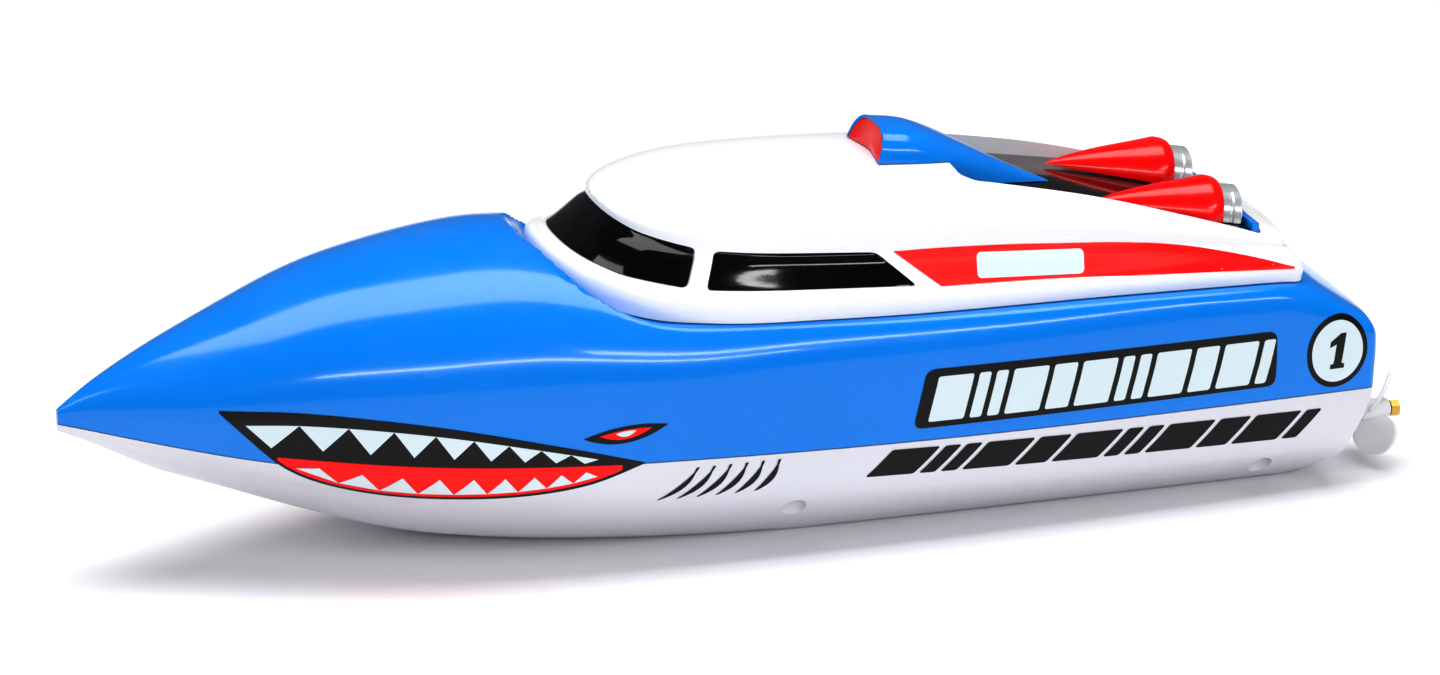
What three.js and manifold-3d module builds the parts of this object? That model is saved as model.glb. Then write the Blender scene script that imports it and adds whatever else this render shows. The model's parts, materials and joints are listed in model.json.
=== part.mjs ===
// A radio-controlled speedboat: white hull, domed blue deck, lift-off cabin cover with a scoop and two jet
// cowls, and two propellers driven by their own motors. Millimetres, +X to the bow, +Y to port, +Z up.
// While it is built, X = 0 is the transom and Z = 0 is the flat bottom that the boat stands on. At the end
// the whole boat is shifted along X, so that the origin lies under the middle of its length.
import * as THREE from "three";
import { mergeVertices } from "three/addons/utils/BufferGeometryUtils.js";
import Module from "manifold-3d";

const wasm = await Module();
wasm.setup();

// ---------------------------------------------------------------- driving dimensions
const HULL_LENGTH = 335;
const BEAM = 90;
const CROWN_HEIGHT = 81.3; // highest point of the foredeck
const HULL_WALL = 1.8;
const GAP = 0.3; // between pieces that rest on, or in, each other

const COVER_LENGTH = 196.5; // cabin cover, along X
const COVER_WIDTH = 78;
const COVER_REAR_X = 19;
const COVER_TOP = 91.6; // crown of the roof
const COVER_WALL = 1.8;
const COVER_FRONT_LENGTH = 60; // the rounded front of its outline
const FRONT_FULLNESS = 2.5; // exponent of that rounded front; 2 is an ellipse

const LIP_WALL = 1.6; // raised lip of the deck, inside the cover
const LIP_CLEARANCE = 0.7;
const LIP_RISE = 2.5;
const WELL_FLOOR_Z = 50; // top of the floor of the well under the cover
const WELL_FLOOR = 1.6;

const HATCH_LENGTH = 104;
const HATCH_WIDTH = 42;
const HATCH_MID_X = 116;
const HATCH_CORNER = 6;
const GASKET_WIDTH = 2.4;
const GASKET_THICKNESS = 1.4;
const LID_THICKNESS = 2;
const LID_RIM = 5; // how far the lid reaches past the hatch
const LID_SKIRT = 4;

const RECESS_FRONT_X = 107; // engine recess in the rear of the cover
const RECESS_REAR_X = 29;
const RECESS_FRONT_WIDTH = 43;
const RECESS_REAR_WIDTH = 57;
const RECESS_WALL = 1.5;
const RECESS_FRONT_Z = 83.6; // top of the black floor panel, front and rear
const RECESS_REAR_Z = 68.6;
const PANEL_THICKNESS = 0.8;
const TRAY_THICKNESS = 1.6;
const TRAY_LIP = 2.2; // width of the tray's blue rear lip

const SCOOP_MOUTH_X = 126.5;
const SCOOP_LENGTH = 50;
const SCOOP_WIDTH = 24.6;
const SCOOP_TOP_Z = 98.8;
const SCOOP_WALL = 1.1;
const SCOOP_RAKE = 0.4; // how far the mouth leans back for each millimetre of height
const SCOOP_INSERT = 1.2;

const COWL_LENGTH = 33;
const COWL_RADIUS = 9.6;
const COWL_SPREAD = 17; // from the centreline to each cowl
const COWL_WALL = 1.4;
const COWL_TIP_X = 71;
const NOZZLE_WALL = 1.3;
const NOZZLE_LENGTH = 9;
const NOZZLE_SHOWING = 5.5;

const DRIVE_SPREAD = 20; // from the centreline to each propeller shaft
const DRIVE_TILT = THREE.MathUtils.degToRad(4); // the shafts rise towards the motors
const PROP_X = -7;
const PROP_Z = 14;
const PROP_RADIUS = 12;
const PROP_BLADES = 3;
const PROP_CHORD = 13.5;
const PROP_PITCH = THREE.MathUtils.degToRad(38);
const BLADE_THICKNESS = 1.2;
const HUB_RADIUS = 2.8;
const HUB_LENGTH = 8;
const SHAFT_RADIUS = 1;
const SHAFT_LENGTH = 58;
const TUBE_WALL = 0.8;
const TUBE_LENGTH = 34;
const TUBE_START = 9; // along the shaft, forward of the propeller's middle
const GLAND_RADIUS = 3.6;
const COUPLER_RADIUS = 3;
const COUPLER_LENGTH = 12;
const MOTOR_RADIUS = 10;
const MOTOR_FLAT = 15.4; // across its two flats
const MOTOR_LENGTH = 27;
const MOTOR_START = 66; // along the shaft
const RUNNING_CLEARANCE = 0.35;

const SCREW_RADIUS = 1.1;
const SCREW_HEAD_RADIUS = 2.4;
const SCREW_HEAD = 1.8;
const SCREW_LENGTH = 17;
const BOSS_RADIUS = 4.6;
const SCREW_SEAT_DEPTH = 12; // from the hull's upper edge down to the seat of a screw's head
const BOSS_STATIONS = [
  { name: "fore", x: 156, y: 35 },
  { name: "aft", x: 29, y: 31 },
];

const BATTERY = { x: 122, length: 54, width: 30, height: 15.5 };
const BATTERY_TRAY_WALL = 1.4;
const BOARD = { x: 78, z: 36, length: 44, width: 34, thickness: 1.6 };
const SENSOR = { x: 86, y: 9, head: 2.4, headThickness: 0.9, pin: 1.1, length: 7 };
const SWITCH = { x: 44, length: 13, width: 7, height: 5, travel: 4 };
const WIRE_RADIUS = 0.8;

const SIDES = 20; // facets of round pieces
const SMALL_SIDES = 10;

// ---------------------------------------------------------------- materials
const finish = (color, roughness, metalness = 0) =>
  new THREE.MeshStandardMaterial({ color, roughness, metalness });
const WHITE_PLASTIC = finish(0xf2f3f4, 0.3);
const BLUE_PLASTIC = finish(0x0077e6, 0.16);
const RED_PLASTIC = finish(0xe80610, 0.2);
const BLACK_GLOSS = finish(0x08080a, 0.08);
const BLACK_PLASTIC = finish(0x1c1c1e, 0.5);
const SILVER = finish(0xd8dde0, 0.2, 0.9);
const STEEL = finish(0xb4b8bc, 0.3, 1);
const BRASS = finish(0xc9a24a, 0.3, 1);
const RUBBER = finish(0x26272a, 0.8);
const BOARD_GREEN = finish(0x14613a, 0.5);
const BATTERY_WRAP = finish(0x2a6fb8, 0.4);
const WIRE_RED = finish(0xc01818, 0.5);
const WIRE_BLACK = finish(0x141416, 0.5);

// ---------------------------------------------------------------- solids and meshes
const boat = new THREE.Group();

// A closed three.js geometry as a manifold-3d solid, turned the right way out.
function solid(geometry) {
  const bare = geometry.clone();
  for (const name of ["normal", "uv"]) bare.deleteAttribute(name);
  const merged = mergeVertices(bare, 1e-4);
  const triVerts = new Uint32Array(merged.index.array);
  const build = () =>
    new wasm.Manifold(
      new wasm.Mesh({ numProp: 3, vertProperties: merged.attributes.position.array, triVerts }),
    );
  const made = build();
  if (made.volume() > 0) return made;
  for (let i = 0; i < triVerts.length; i += 3)
    [triVerts[i + 1], triVerts[i + 2]] = [triVerts[i + 2], triVerts[i + 1]];
  return build();
}

// Adds a solid, or a closed geometry, to a group as one named mesh.
function add(group, name, shape, material) {
  let geometry = shape;
  if (!shape.isBufferGeometry) {
    const made = shape.getMesh();
    geometry = new THREE.BufferGeometry();
    geometry.setAttribute("position", new THREE.BufferAttribute(made.vertProperties, made.numProp));
    geometry.setIndex(new THREE.BufferAttribute(made.triVerts, 1));
    geometry.computeVertexNormals();
  }
  const mesh = new THREE.Mesh(geometry, material);
  mesh.name = name;
  group.add(mesh);
  return mesh;
}

// A smooth curve through [position, value] pairs.
function fair(pairs) {
  const positions = pairs.map((p) => p[0]);
  const values = pairs.map((p) => p[1]);
  const curve = new THREE.CubicInterpolant(positions, values, 1);
  const last = positions.length - 1;
  return (t) => curve.evaluate(THREE.MathUtils.clamp(t, positions[0], positions[last]))[0];
}

// A closed solid through rings of as many points each, with a fan over each end.
function loft(rings) {
  const size = rings[0].length;
  const points = rings.flat();
  const index = [];
  for (let r = 0; r < rings.length - 1; r++)
    for (let k = 0; k < size; k++) {
      const a = r * size + k;
      const b = r * size + ((k + 1) % size);
      index.push(a, b, a + size, b, b + size, a + size);
    }
  for (const [ring, turned] of [[0, true], [rings.length - 1, false]]) {
    const middle = new THREE.Vector3();
    rings[ring].forEach((p) => middle.addScaledVector(p, 1 / size));
    points.push(middle);
    for (let k = 0; k < size; k++) {
      const pair = [ring * size + k, ring * size + ((k + 1) % size)];
      index.push(...(turned ? pair.reverse() : pair), points.length - 1);
    }
  }
  const geometry = new THREE.BufferGeometry().setFromPoints(points);
  geometry.setIndex(index);
  return solid(geometry);
}

// A straight-sided solid over an outline in the XY plane, from one height to another.
function column(outline, low, high) {
  const shape = new THREE.Shape(outline);
  const geometry = new THREE.ExtrudeGeometry(shape, { depth: high - low, bevelEnabled: false });
  return solid(geometry.translate(0, 0, low));
}

// A straight-sided solid across the boat over an outline in the XZ plane.
function acrossBoat(outline, halfWidth = BEAM) {
  const shape = new THREE.Shape(outline.map(([x, z]) => new THREE.Vector2(x, z)));
  const geometry = new THREE.ExtrudeGeometry(shape, { depth: 2 * halfWidth, bevelEnabled: false });
  return solid(geometry.rotateX(Math.PI / 2).translate(0, halfWidth, 0));
}

const block = (x, y, z, length, width, height) =>
  solid(new THREE.BoxGeometry(length, width, height).translate(x, y, z));

const post = (x, y, low, high, radius, sides = SIDES) =>
  solid(
    new THREE.CylinderGeometry(radius, radius, high - low, sides)
      .rotateX(Math.PI / 2)
      .translate(x, y, (low + high) / 2),
  );

// A round bar along X.
const bar = (start, end, radius, sides = SIDES) =>
  solid(
    new THREE.CylinderGeometry(radius, radius, end - start, sides)
      .rotateZ(Math.PI / 2)
      .translate((start + end) / 2, 0, 0),
  );

// A body turned about the X axis, from a profile of [x, radius] pairs that starts and ends on the axis.
function turned(profile, sides = SIDES) {
  const points = profile.map(([x, radius]) => new THREE.Vector2(radius, x));
  return solid(new THREE.LatheGeometry(points, sides).rotateZ(-Math.PI / 2));
}

const moved = (shape, x, y, z) => shape.translate([x, y, z]);

// ---------------------------------------------------------------- hull lines
// Each line runs from the transom, 0, to the bow, 1. Breadths are shares of half the beam, and heights are
// for a foredeck 81.3 high.
const HALF_BEAM = BEAM / 2;
const HEIGHT_SHARE = CROWN_HEIGHT / 81.3;
const breadth = (pairs) => fair(pairs.map(([t, v]) => [t, v * HALF_BEAM]));
const height = (pairs) => fair(pairs.map(([t, v]) => [t, v * HEIGHT_SHARE]));

const LINES = {
  creaseY: breadth([[0, 0.845], [0.12, 0.91], [0.3, 0.98], [0.45, 1], [0.58, 0.985], [0.68, 0.925],
    [0.76, 0.81], [0.84, 0.61], [0.9, 0.42], [0.95, 0.225], [0.985, 0.075], [1, 0.02]]),
  creaseZ: height([[0, 35.4], [0.2, 39.8], [0.42, 43.2], [0.55, 45.1], [0.71, 46.6], [0.84, 45.4],
    [0.9, 44.4], [1, 43.6]]),
  partingY: breadth([[0, 0.82], [0.12, 0.885], [0.3, 0.955], [0.45, 0.97], [0.58, 0.95], [0.68, 0.875],
    [0.76, 0.745], [0.84, 0.54], [0.9, 0.35], [0.95, 0.18], [0.985, 0.06], [1, 0.018]]),
  partingZ: height([[0, 26.4], [0.42, 28.3], [0.58, 29.7], [0.76, 30.8], [0.83, 32], [0.88, 33.9],
    [0.94, 37.2], [1, 41]]),
  chineY: breadth([[0, 0.74], [0.12, 0.8], [0.3, 0.85], [0.45, 0.85], [0.58, 0.8], [0.68, 0.68],
    [0.76, 0.53], [0.84, 0.35], [0.9, 0.21], [0.95, 0.1], [0.985, 0.035], [1, 0.014]]),
  chineZ: height([[0, 10], [0.11, 10.9], [0.3, 12.3], [0.55, 15], [0.68, 17.5], [0.76, 20], [0.84, 24.5],
    [0.9, 29], [0.95, 34], [1, 40.2]]),
  bottomY: breadth([[0, 0.495], [0.35, 0.495], [0.47, 0.47], [0.58, 0.4], [0.66, 0.31], [0.72, 0.22],
    [0.76, 0.16], [0.82, 0.08], [0.9, 0.04], [0.95, 0.026], [1, 0.008]]),
  bottomZ: height([[0, 0], [0.4, 0], [0.44, 0], [0.54, 0.8], [0.62, 2], [0.68, 3.4], [0.74, 5.8],
    [0.78, 9], [0.82, 13.4], [0.89, 22.4], [0.93, 27.4], [0.97, 34.6], [1, 39.4]]),
  keelZ: height([[0, 0], [0.4, 0], [0.48, 0], [0.56, 0.2], [0.64, 0.9], [0.7, 2.2], [0.74, 4.2],
    [0.78, 7.6], [0.82, 12.2], [0.89, 21.6], [0.93, 26.8], [0.97, 34.2], [1, 39]]),
  crownZ: height([[0, 44.7], [0.03, 51.6], [0.06, 58], [0.12, 61], [0.3, 64.5], [0.45, 68.5], [0.54, 72.5],
    [0.6, 77], [0.65, 80.6], [0.68, 81.3], [0.75, 78.9], [0.815, 74.4], [0.88, 65.8], [0.946, 55.9],
    [0.985, 48.5], [1, 44.6]]),
  deckFullness: fair([[0, 6], [0.08, 5.6], [0.3, 4], [0.45, 3.2], [0.55, 2.5], [0.65, 2.2], [0.8, 2.05],
    [0.9, 2], [1, 2]]),
};
const DECK_STEPS = 7;
const STATIONS = 22;
const INNER_BOW = 0.955; // the bow is solid past this share of the length
const STRAIGHT = 1e-9;

// The port half of a cross-section, as [y, z] pairs from the keel up to the crown of the deck.
function halfSection(t) {
  const at = Object.fromEntries(Object.entries(LINES).map(([name, line]) => [name, line(t)]));
  const points = [[0, at.keelZ], [at.bottomY, at.bottomZ]];
  const bulge = 0.012 * at.partingY; // the topside and the chamfer bow outwards a little
  points.push([(at.bottomY + at.chineY) / 2 + bulge, (at.bottomZ + at.chineZ) / 2 - bulge]);
  points.push([at.chineY, at.chineZ]);
  points.push([(at.chineY + at.partingY) / 2 + 2 * bulge, (at.chineZ + at.partingZ) / 2 - bulge]);
  points.push([at.partingY, at.partingZ]);
  for (let k = 0; k <= DECK_STEPS; k++) {
    const angle = ((k / DECK_STEPS) * Math.PI) / 2;
    const share = 2 / at.deckFullness;
    const across = k === DECK_STEPS ? 0 : Math.cos(angle) ** share;
    points.push([at.creaseY * across, at.creaseZ + (at.crownZ - at.creaseZ) * Math.sin(angle) ** share]);
  }
  return points;
}

// The same half cross-section, moved in by the wall.
function insetSection(half, wall) {
  return half.map(([y, z], i) => {
    if (i === 0) return [0, z + wall];
    if (i === half.length - 1) return [0, z - wall];
    const [before, after] = [half[i - 1], half[i + 1]];
    const tangent = new THREE.Vector2(after[0] - before[0], after[1] - before[1]).normalize();
    return [Math.max(y - wall * tangent.y, STRAIGHT + 0.05), z + wall * tangent.x];
  });
}

// The boat's body without its cover: the outer skin, or with a wall the space inside it.
function body(wall) {
  const rings = [];
  const end = wall ? INNER_BOW : 1;
  for (let s = 0; s <= STATIONS; s++) {
    const share = (1 - Math.cos((Math.PI * s) / STATIONS)) / 2;
    const start = wall / HULL_LENGTH;
    const t = start + (end - start) * share;
    const half = wall ? insetSection(halfSection(t), wall) : halfSection(t);
    const starboard = half.slice(1, -1).reverse().map(([y, z]) => [-y, z]);
    rings.push([...half, ...starboard].map(([y, z]) => new THREE.Vector3(t * HULL_LENGTH, y, z)));
  }
  return loft(rings).subtract(sternCut(wall)).subtract(coverSeat(wall));
}

// What is cut away under the stern: the raked transom and the step above the propellers.
const TRANSOM = [[0, 26.4], [6, 11.5], [7, 6.6], [14, 2.6], [20, 0]];
function sternCut(wall) {
  const profile = TRANSOM.map(([x, z]) => [x + wall, z * HEIGHT_SHARE + wall]);
  const [top] = profile;
  const ends = [[profile.at(-1)[0], -BEAM], [-HULL_LENGTH, -BEAM]];
  return acrossBoat([[-HULL_LENGTH, top[1]], ...profile, ...ends]);
}

// ---------------------------------------------------------------- cabin cover outline and heights
// Lines of the cover run from its rear, 0, to its nose, 1.
const along = (t) => COVER_REAR_X + t * COVER_LENGTH;
const coverShare = (x) => (x - COVER_REAR_X) / COVER_LENGTH;
const ROOF_SHARE = COVER_TOP / 91.6;
const coverHeight = (pairs) => {
  const line = fair(pairs.map(([t, v]) => [t, v * ROOF_SHARE]));
  return (x) => line(coverShare(x));
};
const COVER_HALF = COVER_WIDTH / 2;
const taper = fair([[0, 0.875], [0.29, 0.945], [0.5, 0.985], [0.69, 1], [1, 1]]);
const COVER_LINES = {
  seat: coverHeight([[0, 56], [0.29, 58.2], [0.56, 59.7], [0.69, 61], [0.82, 62.3], [0.87, 62.9],
    [0.907, 63.9], [0.94, 65.1], [0.966, 66.8], [0.985, 69.4], [1, 72.4]]),
  sill: coverHeight([[0, 61.5], [0.29, 64], [0.544, 66.7], [0.83, 70.7], [0.856, 71.2], [0.91, 73.3],
    [0.95, 75.8], [0.98, 78.4], [1, 80]]),
  eave: coverHeight([[0, 63.5], [0.21, 69.5], [0.417, 73.5], [0.582, 75.4], [0.813, 79.6],
    [0.838, 80.3], [0.88, 82.4], [0.918, 84.9], [1, 88]]),
  roof: coverHeight([[0, 66], [0.05, 70.4], [0.16, 77], [0.273, 83], [0.366, 86.5], [0.454, 89.3],
    [0.55, 90.9], [0.66, 91.6], [0.76, 91.2], [0.835, 89.6], [0.881, 87.4], [0.918, 84.9], [1, 80]]),
};
const FRONT_STEPS = 7;
const SIDE_STEPS = 6;
const CORNER = 4; // radius of the cover's rear corners
const CORNER_STEPS = 3;

// The cover's outline in plan, moved in by an inset, with its nose and rear moved in by their own amounts.
function coverOutline(inset, noseInset = inset, rearInset = inset) {
  const nose = along(1) - noseInset;
  const shoulder = along(1) - COVER_FRONT_LENGTH;
  const halfWidth = (x) => COVER_HALF * taper(coverShare(x)) - inset;
  const half = [];
  for (let k = 0; k <= FRONT_STEPS; k++) {
    const angle = ((k / FRONT_STEPS) * Math.PI) / 2;
    const share = 2 / FRONT_FULLNESS;
    const x = k === FRONT_STEPS ? shoulder : shoulder + (nose - shoulder) * Math.cos(angle) ** share;
    half.push([x, halfWidth(shoulder) * Math.sin(angle) ** share]);
  }
  const rear = along(0) + rearInset;
  const turn = rear + CORNER;
  for (let k = 1; k <= SIDE_STEPS; k++) {
    const x = shoulder + ((turn - shoulder) * k) / SIDE_STEPS;
    half.push([x, halfWidth(x)]);
  }
  for (let k = 1; k <= CORNER_STEPS; k++) {
    const angle = ((k / CORNER_STEPS) * Math.PI) / 2;
    half.push([turn - CORNER * Math.sin(angle), halfWidth(turn) - CORNER * (1 - Math.cos(angle))]);
  }
  half.push([rear, 0]);
  const starboard = half.slice(1, -1).reverse().map(([x, y]) => [x, -y]);
  return [...half, ...starboard].map(([x, y]) => new THREE.Vector2(x, y));
}

const ringAt = (outline, heightAt) =>
  outline.map((p) => new THREE.Vector3(p.x, p.y, heightAt(p.x, p.y)));

// The dished seat round the cover's foot that is cut into the deck, as [inset, rise] steps. Ahead of the
// cover's nose the dish is about half as wide.
const SKIRT_NOSE_INSET = 3;
const SEAT_STEPS = [[-0.8, 0], [-4, 1], [-9, 3.8], [-14, 9.5], [-20, 20]];
const SEAT_NOSE_SHARE = 0.55;
function coverSeat(wall) {
  const rings = SEAT_STEPS.map(([inset, rise]) =>
    ringAt(
      coverOutline(inset - wall, SKIRT_NOSE_INSET + SEAT_NOSE_SHARE * inset - wall, inset - wall),
      (x) => COVER_LINES.seat(x) + rise - wall,
    ),
  );
  return loft(rings);
}

// Height of the roof over the cabin, inside the eave line.
const ROOF_FULLNESS = 3;
const EAVE_INSET = 4.8;
const EAVE_NOSE_INSET = 18.5;
const EAVE_REAR_INSET = 3;
function eaveHalfWidth(x) {
  const shoulder = along(1) - COVER_FRONT_LENGTH;
  const nose = along(1) - EAVE_NOSE_INSET;
  const width = COVER_HALF * taper(coverShare(Math.min(x, shoulder))) - EAVE_INSET;
  if (x <= shoulder) return width;
  const share = THREE.MathUtils.clamp((x - shoulder) / (nose - shoulder), 0, 1);
  return width * (1 - share ** FRONT_FULLNESS) ** (1 / FRONT_FULLNESS);
}
function roofHeight(x, y) {
  const eave = COVER_LINES.eave(x);
  const rise = Math.max(COVER_LINES.roof(x) - eave, 0);
  const share = Math.min(Math.abs(y) / Math.max(eaveHalfWidth(x), 1), 1);
  return eave + rise * (1 - share ** ROOF_FULLNESS) ** (1 / ROOF_FULLNESS);
}

// The cover as a filled solid, or with a wall the space inside it.
const SKIRT_DEPTH = 12;
const ROOF_RINGS = [0.97, 0.88, 0.72, 0.45];
const ROOF_MIDDLE = 0.52;
function coverBody(wall) {
  const { seat, sill, eave } = COVER_LINES;
  const pillar = (x) => sill(x) + 0.7 * (eave(x) - sill(x));
  const levels = [
    [0, SKIRT_NOSE_INSET, 0, (x) => seat(x) - SKIRT_DEPTH],
    [0, SKIRT_NOSE_INSET, 0, (x) => seat(x)],
    [-0.4, 2.3, -0.3, (x) => seat(x) + 0.5 * (sill(x) - seat(x))],
    [0.3, 3.8, 0.2, (x) => seat(x) + 0.85 * (sill(x) - seat(x))],
    [1.2, 7.4, 0.8, (x) => sill(x)],
    [EAVE_INSET - 1.4, EAVE_NOSE_INSET - 3.4, EAVE_REAR_INSET - 1, pillar],
  ];
  const rings = levels.map(([inset, nose, rear, heightAt], level) =>
    ringAt(coverOutline(inset + wall, nose + wall, rear + wall), (x) => heightAt(x) - (level ? 0 : wall)),
  );
  const eaveInsets = [EAVE_INSET, EAVE_NOSE_INSET, EAVE_REAR_INSET].map((inset) => inset + wall);
  const eaveOutline = coverOutline(...eaveInsets);
  rings.push(ringAt(eaveOutline, (x) => eave(x) - wall * 0.6));
  for (const share of ROOF_RINGS) {
    const middle = along(ROOF_MIDDLE);
    const toMiddle = (p) => new THREE.Vector2(middle + (p.x - middle) * share, p.y * share);
    const scaled = eaveOutline.map(toMiddle);
    rings.push(ringAt(scaled, (x, y) => roofHeight(x, y) - wall));
  }
  return loft(rings);
}

// ---------------------------------------------------------------- hull and deck
const outside = body(0);
const inside = body(HULL_WALL);
const skin = outside.subtract(inside);

// Everything below, or above, the line where hull and deck meet, less half the gap.
const PARTING_STEPS = 40;
function beside(below) {
  const side = below ? -1 : 1;
  const line = [];
  for (let k = 0; k <= PARTING_STEPS; k++) {
    const t = k / PARTING_STEPS;
    line.push([t * HULL_LENGTH, LINES.partingZ(t) + (side * GAP) / 2]);
  }
  const past = HULL_LENGTH / 10;
  line.unshift([-past, line[0][1]]);
  line.push([HULL_LENGTH + past, line.at(-1)[1]]);
  const far = side * 2 * BEAM;
  const outline = [...line, [HULL_LENGTH + past, far], [-past, far]];
  return acrossBoat(below ? outline : outline.reverse());
}
const belowParting = beside(true);
const aboveParting = beside(false);

const bosses = BOSS_STATIONS.flatMap((station) => {
  const seat = LINES.partingZ(station.x / HULL_LENGTH) - SCREW_SEAT_DEPTH;
  return [1, -1].map((side) => ({ ...station, y: station.y * side, side, seat }));
});
const sideName = (side) => (side > 0 ? "port" : "starboard");

// A tool or piece placed in the tilted frame of a propeller shaft, whose X axis runs forward along it.
function shaftFrame(side) {
  const frame = new THREE.Group();
  frame.position.set(PROP_X, side * DRIVE_SPREAD, PROP_Z);
  frame.rotation.y = -DRIVE_TILT;
  return frame;
}
function inShaftFrame(shape, side) {
  const frame = shaftFrame(side);
  frame.updateMatrix();
  return shape.transform(frame.matrix.toArray());
}
const TUBE_RADIUS = SHAFT_RADIUS + RUNNING_CLEARANCE + TUBE_WALL;

function hullShell() {
  let hull = skin.intersect(belowParting);
  for (const { x, y, seat } of bosses) {
    hull = hull.add(post(x, y, 0, BEAM, BOSS_RADIUS).intersect(outside).intersect(belowParting));
    hull = hull.subtract(post(x, y, -1, seat, SCREW_HEAD_RADIUS + 0.6));
    hull = hull.subtract(post(x, y, 0, BEAM, SCREW_RADIUS + GAP, SMALL_SIDES));
  }
  for (const side of [1, -1]) {
    const bore = bar(-HULL_LENGTH / 10, TUBE_START + TUBE_LENGTH, TUBE_RADIUS + GAP);
    hull = hull.subtract(inShaftFrame(bore, side));
    const { x, y, head, headThickness, pin } = SENSOR;
    hull = hull.subtract(post(x, side * y, -1, headThickness + 2 * GAP, head + GAP));
    hull = hull.subtract(post(x, side * y, -1, BEAM / 10, pin + GAP, SMALL_SIDES));
  }
  return hull;
}

const LIP_OUTSIDE = COVER_WALL + LIP_CLEARANCE;
const LIP_INSIDE = LIP_OUTSIDE + LIP_WALL;
const lipOutline = (inset) => coverOutline(inset, inset + SKIRT_NOSE_INSET, inset);
const hatchOutline = (grow) =>
  roundedRectangle(HATCH_MID_X, 0, HATCH_LENGTH + 2 * grow, HATCH_WIDTH + 2 * grow, HATCH_CORNER + grow);

function roundedRectangle(x, y, length, width, radius) {
  const steps = 4;
  const points = [];
  const corners = [[1, 1, 0], [-1, 1, 1], [-1, -1, 2], [1, -1, 3]];
  for (const [sx, sy, quarter] of corners)
    for (let k = 0; k <= steps; k++) {
      const angle = ((quarter + k / steps) * Math.PI) / 2;
      const cx = x + sx * (length / 2 - radius);
      const cy = y + sy * (width / 2 - radius);
      points.push(new THREE.Vector2(cx + radius * Math.cos(angle), cy + radius * Math.sin(angle)));
    }
  return points;
}

function deckShell() {
  const high = 2 * CROWN_HEIGHT;
  const well = column(lipOutline(LIP_OUTSIDE), WELL_FLOOR_Z - WELL_FLOOR, high);
  let deck = skin.intersect(aboveParting);
  deck = deck.add(well.intersect(moved(outside, 0, 0, LIP_RISE)));
  for (const { x, y } of bosses)
    deck = deck.add(post(x, y, 0, high, BOSS_RADIUS - 1).intersect(outside).intersect(aboveParting));
  deck = deck.subtract(column(lipOutline(LIP_INSIDE), WELL_FLOOR_Z, high));
  deck = deck.subtract(column(hatchOutline(0), 0, high));
  const { x, length, width } = SWITCH;
  deck = deck.subtract(block(x, 0, WELL_FLOOR_Z, length, width, 3 * WELL_FLOOR));
  for (const boss of bosses) {
    const top = boss.seat + SCREW_LENGTH + 2;
    deck = deck.subtract(post(boss.x, boss.y, 0, top, SCREW_RADIUS + GAP, SMALL_SIDES));
  }
  return deck;
}

function screw(seat) {
  const [bottom, under, tip] = [seat - SCREW_HEAD, seat - GAP, seat + SCREW_LENGTH];
  const head = [[bottom, 0], [bottom, SCREW_HEAD_RADIUS], [under, SCREW_HEAD_RADIUS]];
  const shank = [[under, SCREW_RADIUS], [tip - 2, SCREW_RADIUS], [tip, 0]];
  return turned([...head, ...shank], SMALL_SIDES).rotate([0, -90, 0]);
}

function buildHull() {
  add(boat, "hull_shell", hullShell(), WHITE_PLASTIC);
  add(boat, "deck_shell", deckShell(), BLUE_PLASTIC);
  for (const { name, x, y, seat, side } of bosses)
    add(boat, `hull_screw_${name}_${sideName(side)}`, moved(screw(seat), x, y, 0), STEEL);
  for (const side of [1, -1]) {
    const { x, y, head, headThickness, pin, length } = SENSOR;
    const neck = GAP + headThickness;
    const stud = [[GAP, 0], [GAP, head], [neck, head], [neck, pin], [length, pin], [length, 0]];
    const made = turned(stud, SMALL_SIDES).rotate([0, -90, 0]);
    add(boat, `water_sensor_${sideName(side)}`, moved(made, x, side * y, 0), STEEL);
  }
}

// ---------------------------------------------------------------- what the well holds
const LID_Z = WELL_FLOOR_Z + GASKET_THICKNESS + 2 * GAP;
function buildHatch() {
  const low = WELL_FLOOR_Z + GAP;
  const gasket = column(hatchOutline(GAP + GASKET_WIDTH), low, low + GASKET_THICKNESS);
  add(boat, "hatch_gasket", gasket.subtract(column(hatchOutline(GAP), 0, 2 * WELL_FLOOR_Z)), RUBBER);
  const plate = column(hatchOutline(LID_RIM), LID_Z, LID_Z + LID_THICKNESS);
  const skirt = column(hatchOutline(-GAP), LID_Z - LID_SKIRT, LID_Z + LID_THICKNESS / 2);
  const hollow = column(hatchOutline(-GAP - 1.4), LID_Z - LID_SKIRT - 1, LID_Z);
  const grip = block(HATCH_MID_X, 0, LID_Z + LID_THICKNESS + 2, 22, 3, 6);
  add(boat, "hatch_lid", plate.add(skirt).subtract(hollow).add(grip), BLACK_PLASTIC);
}

const SLIDER_HALF = 1.8;
function buildSwitch() {
  const { x, length, width, height: tall, travel } = SWITCH;
  const top = WELL_FLOOR_Z + 1;
  let housing = block(x, 0, top - tall / 2, length - 2 * GAP, width - 2 * GAP, tall);
  const flange = block(x, 0, WELL_FLOOR_Z + GAP + 0.5, length + 5, width + 3, 1);
  const slotWidth = 2 * SLIDER_HALF + 2 * GAP;
  const slot = block(x + travel / 2, 0, top + 1, travel + slotWidth, slotWidth, 6);
  housing = housing.add(flange).subtract(slot);
  add(boat, "power_switch_housing", housing, BLACK_PLASTIC);
  const slider = block(x, 0, top + 1, 2 * SLIDER_HALF, 2 * SLIDER_HALF, 5);
  add(boat, "power_switch_slider", slider, RED_PLASTIC);
}

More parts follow.
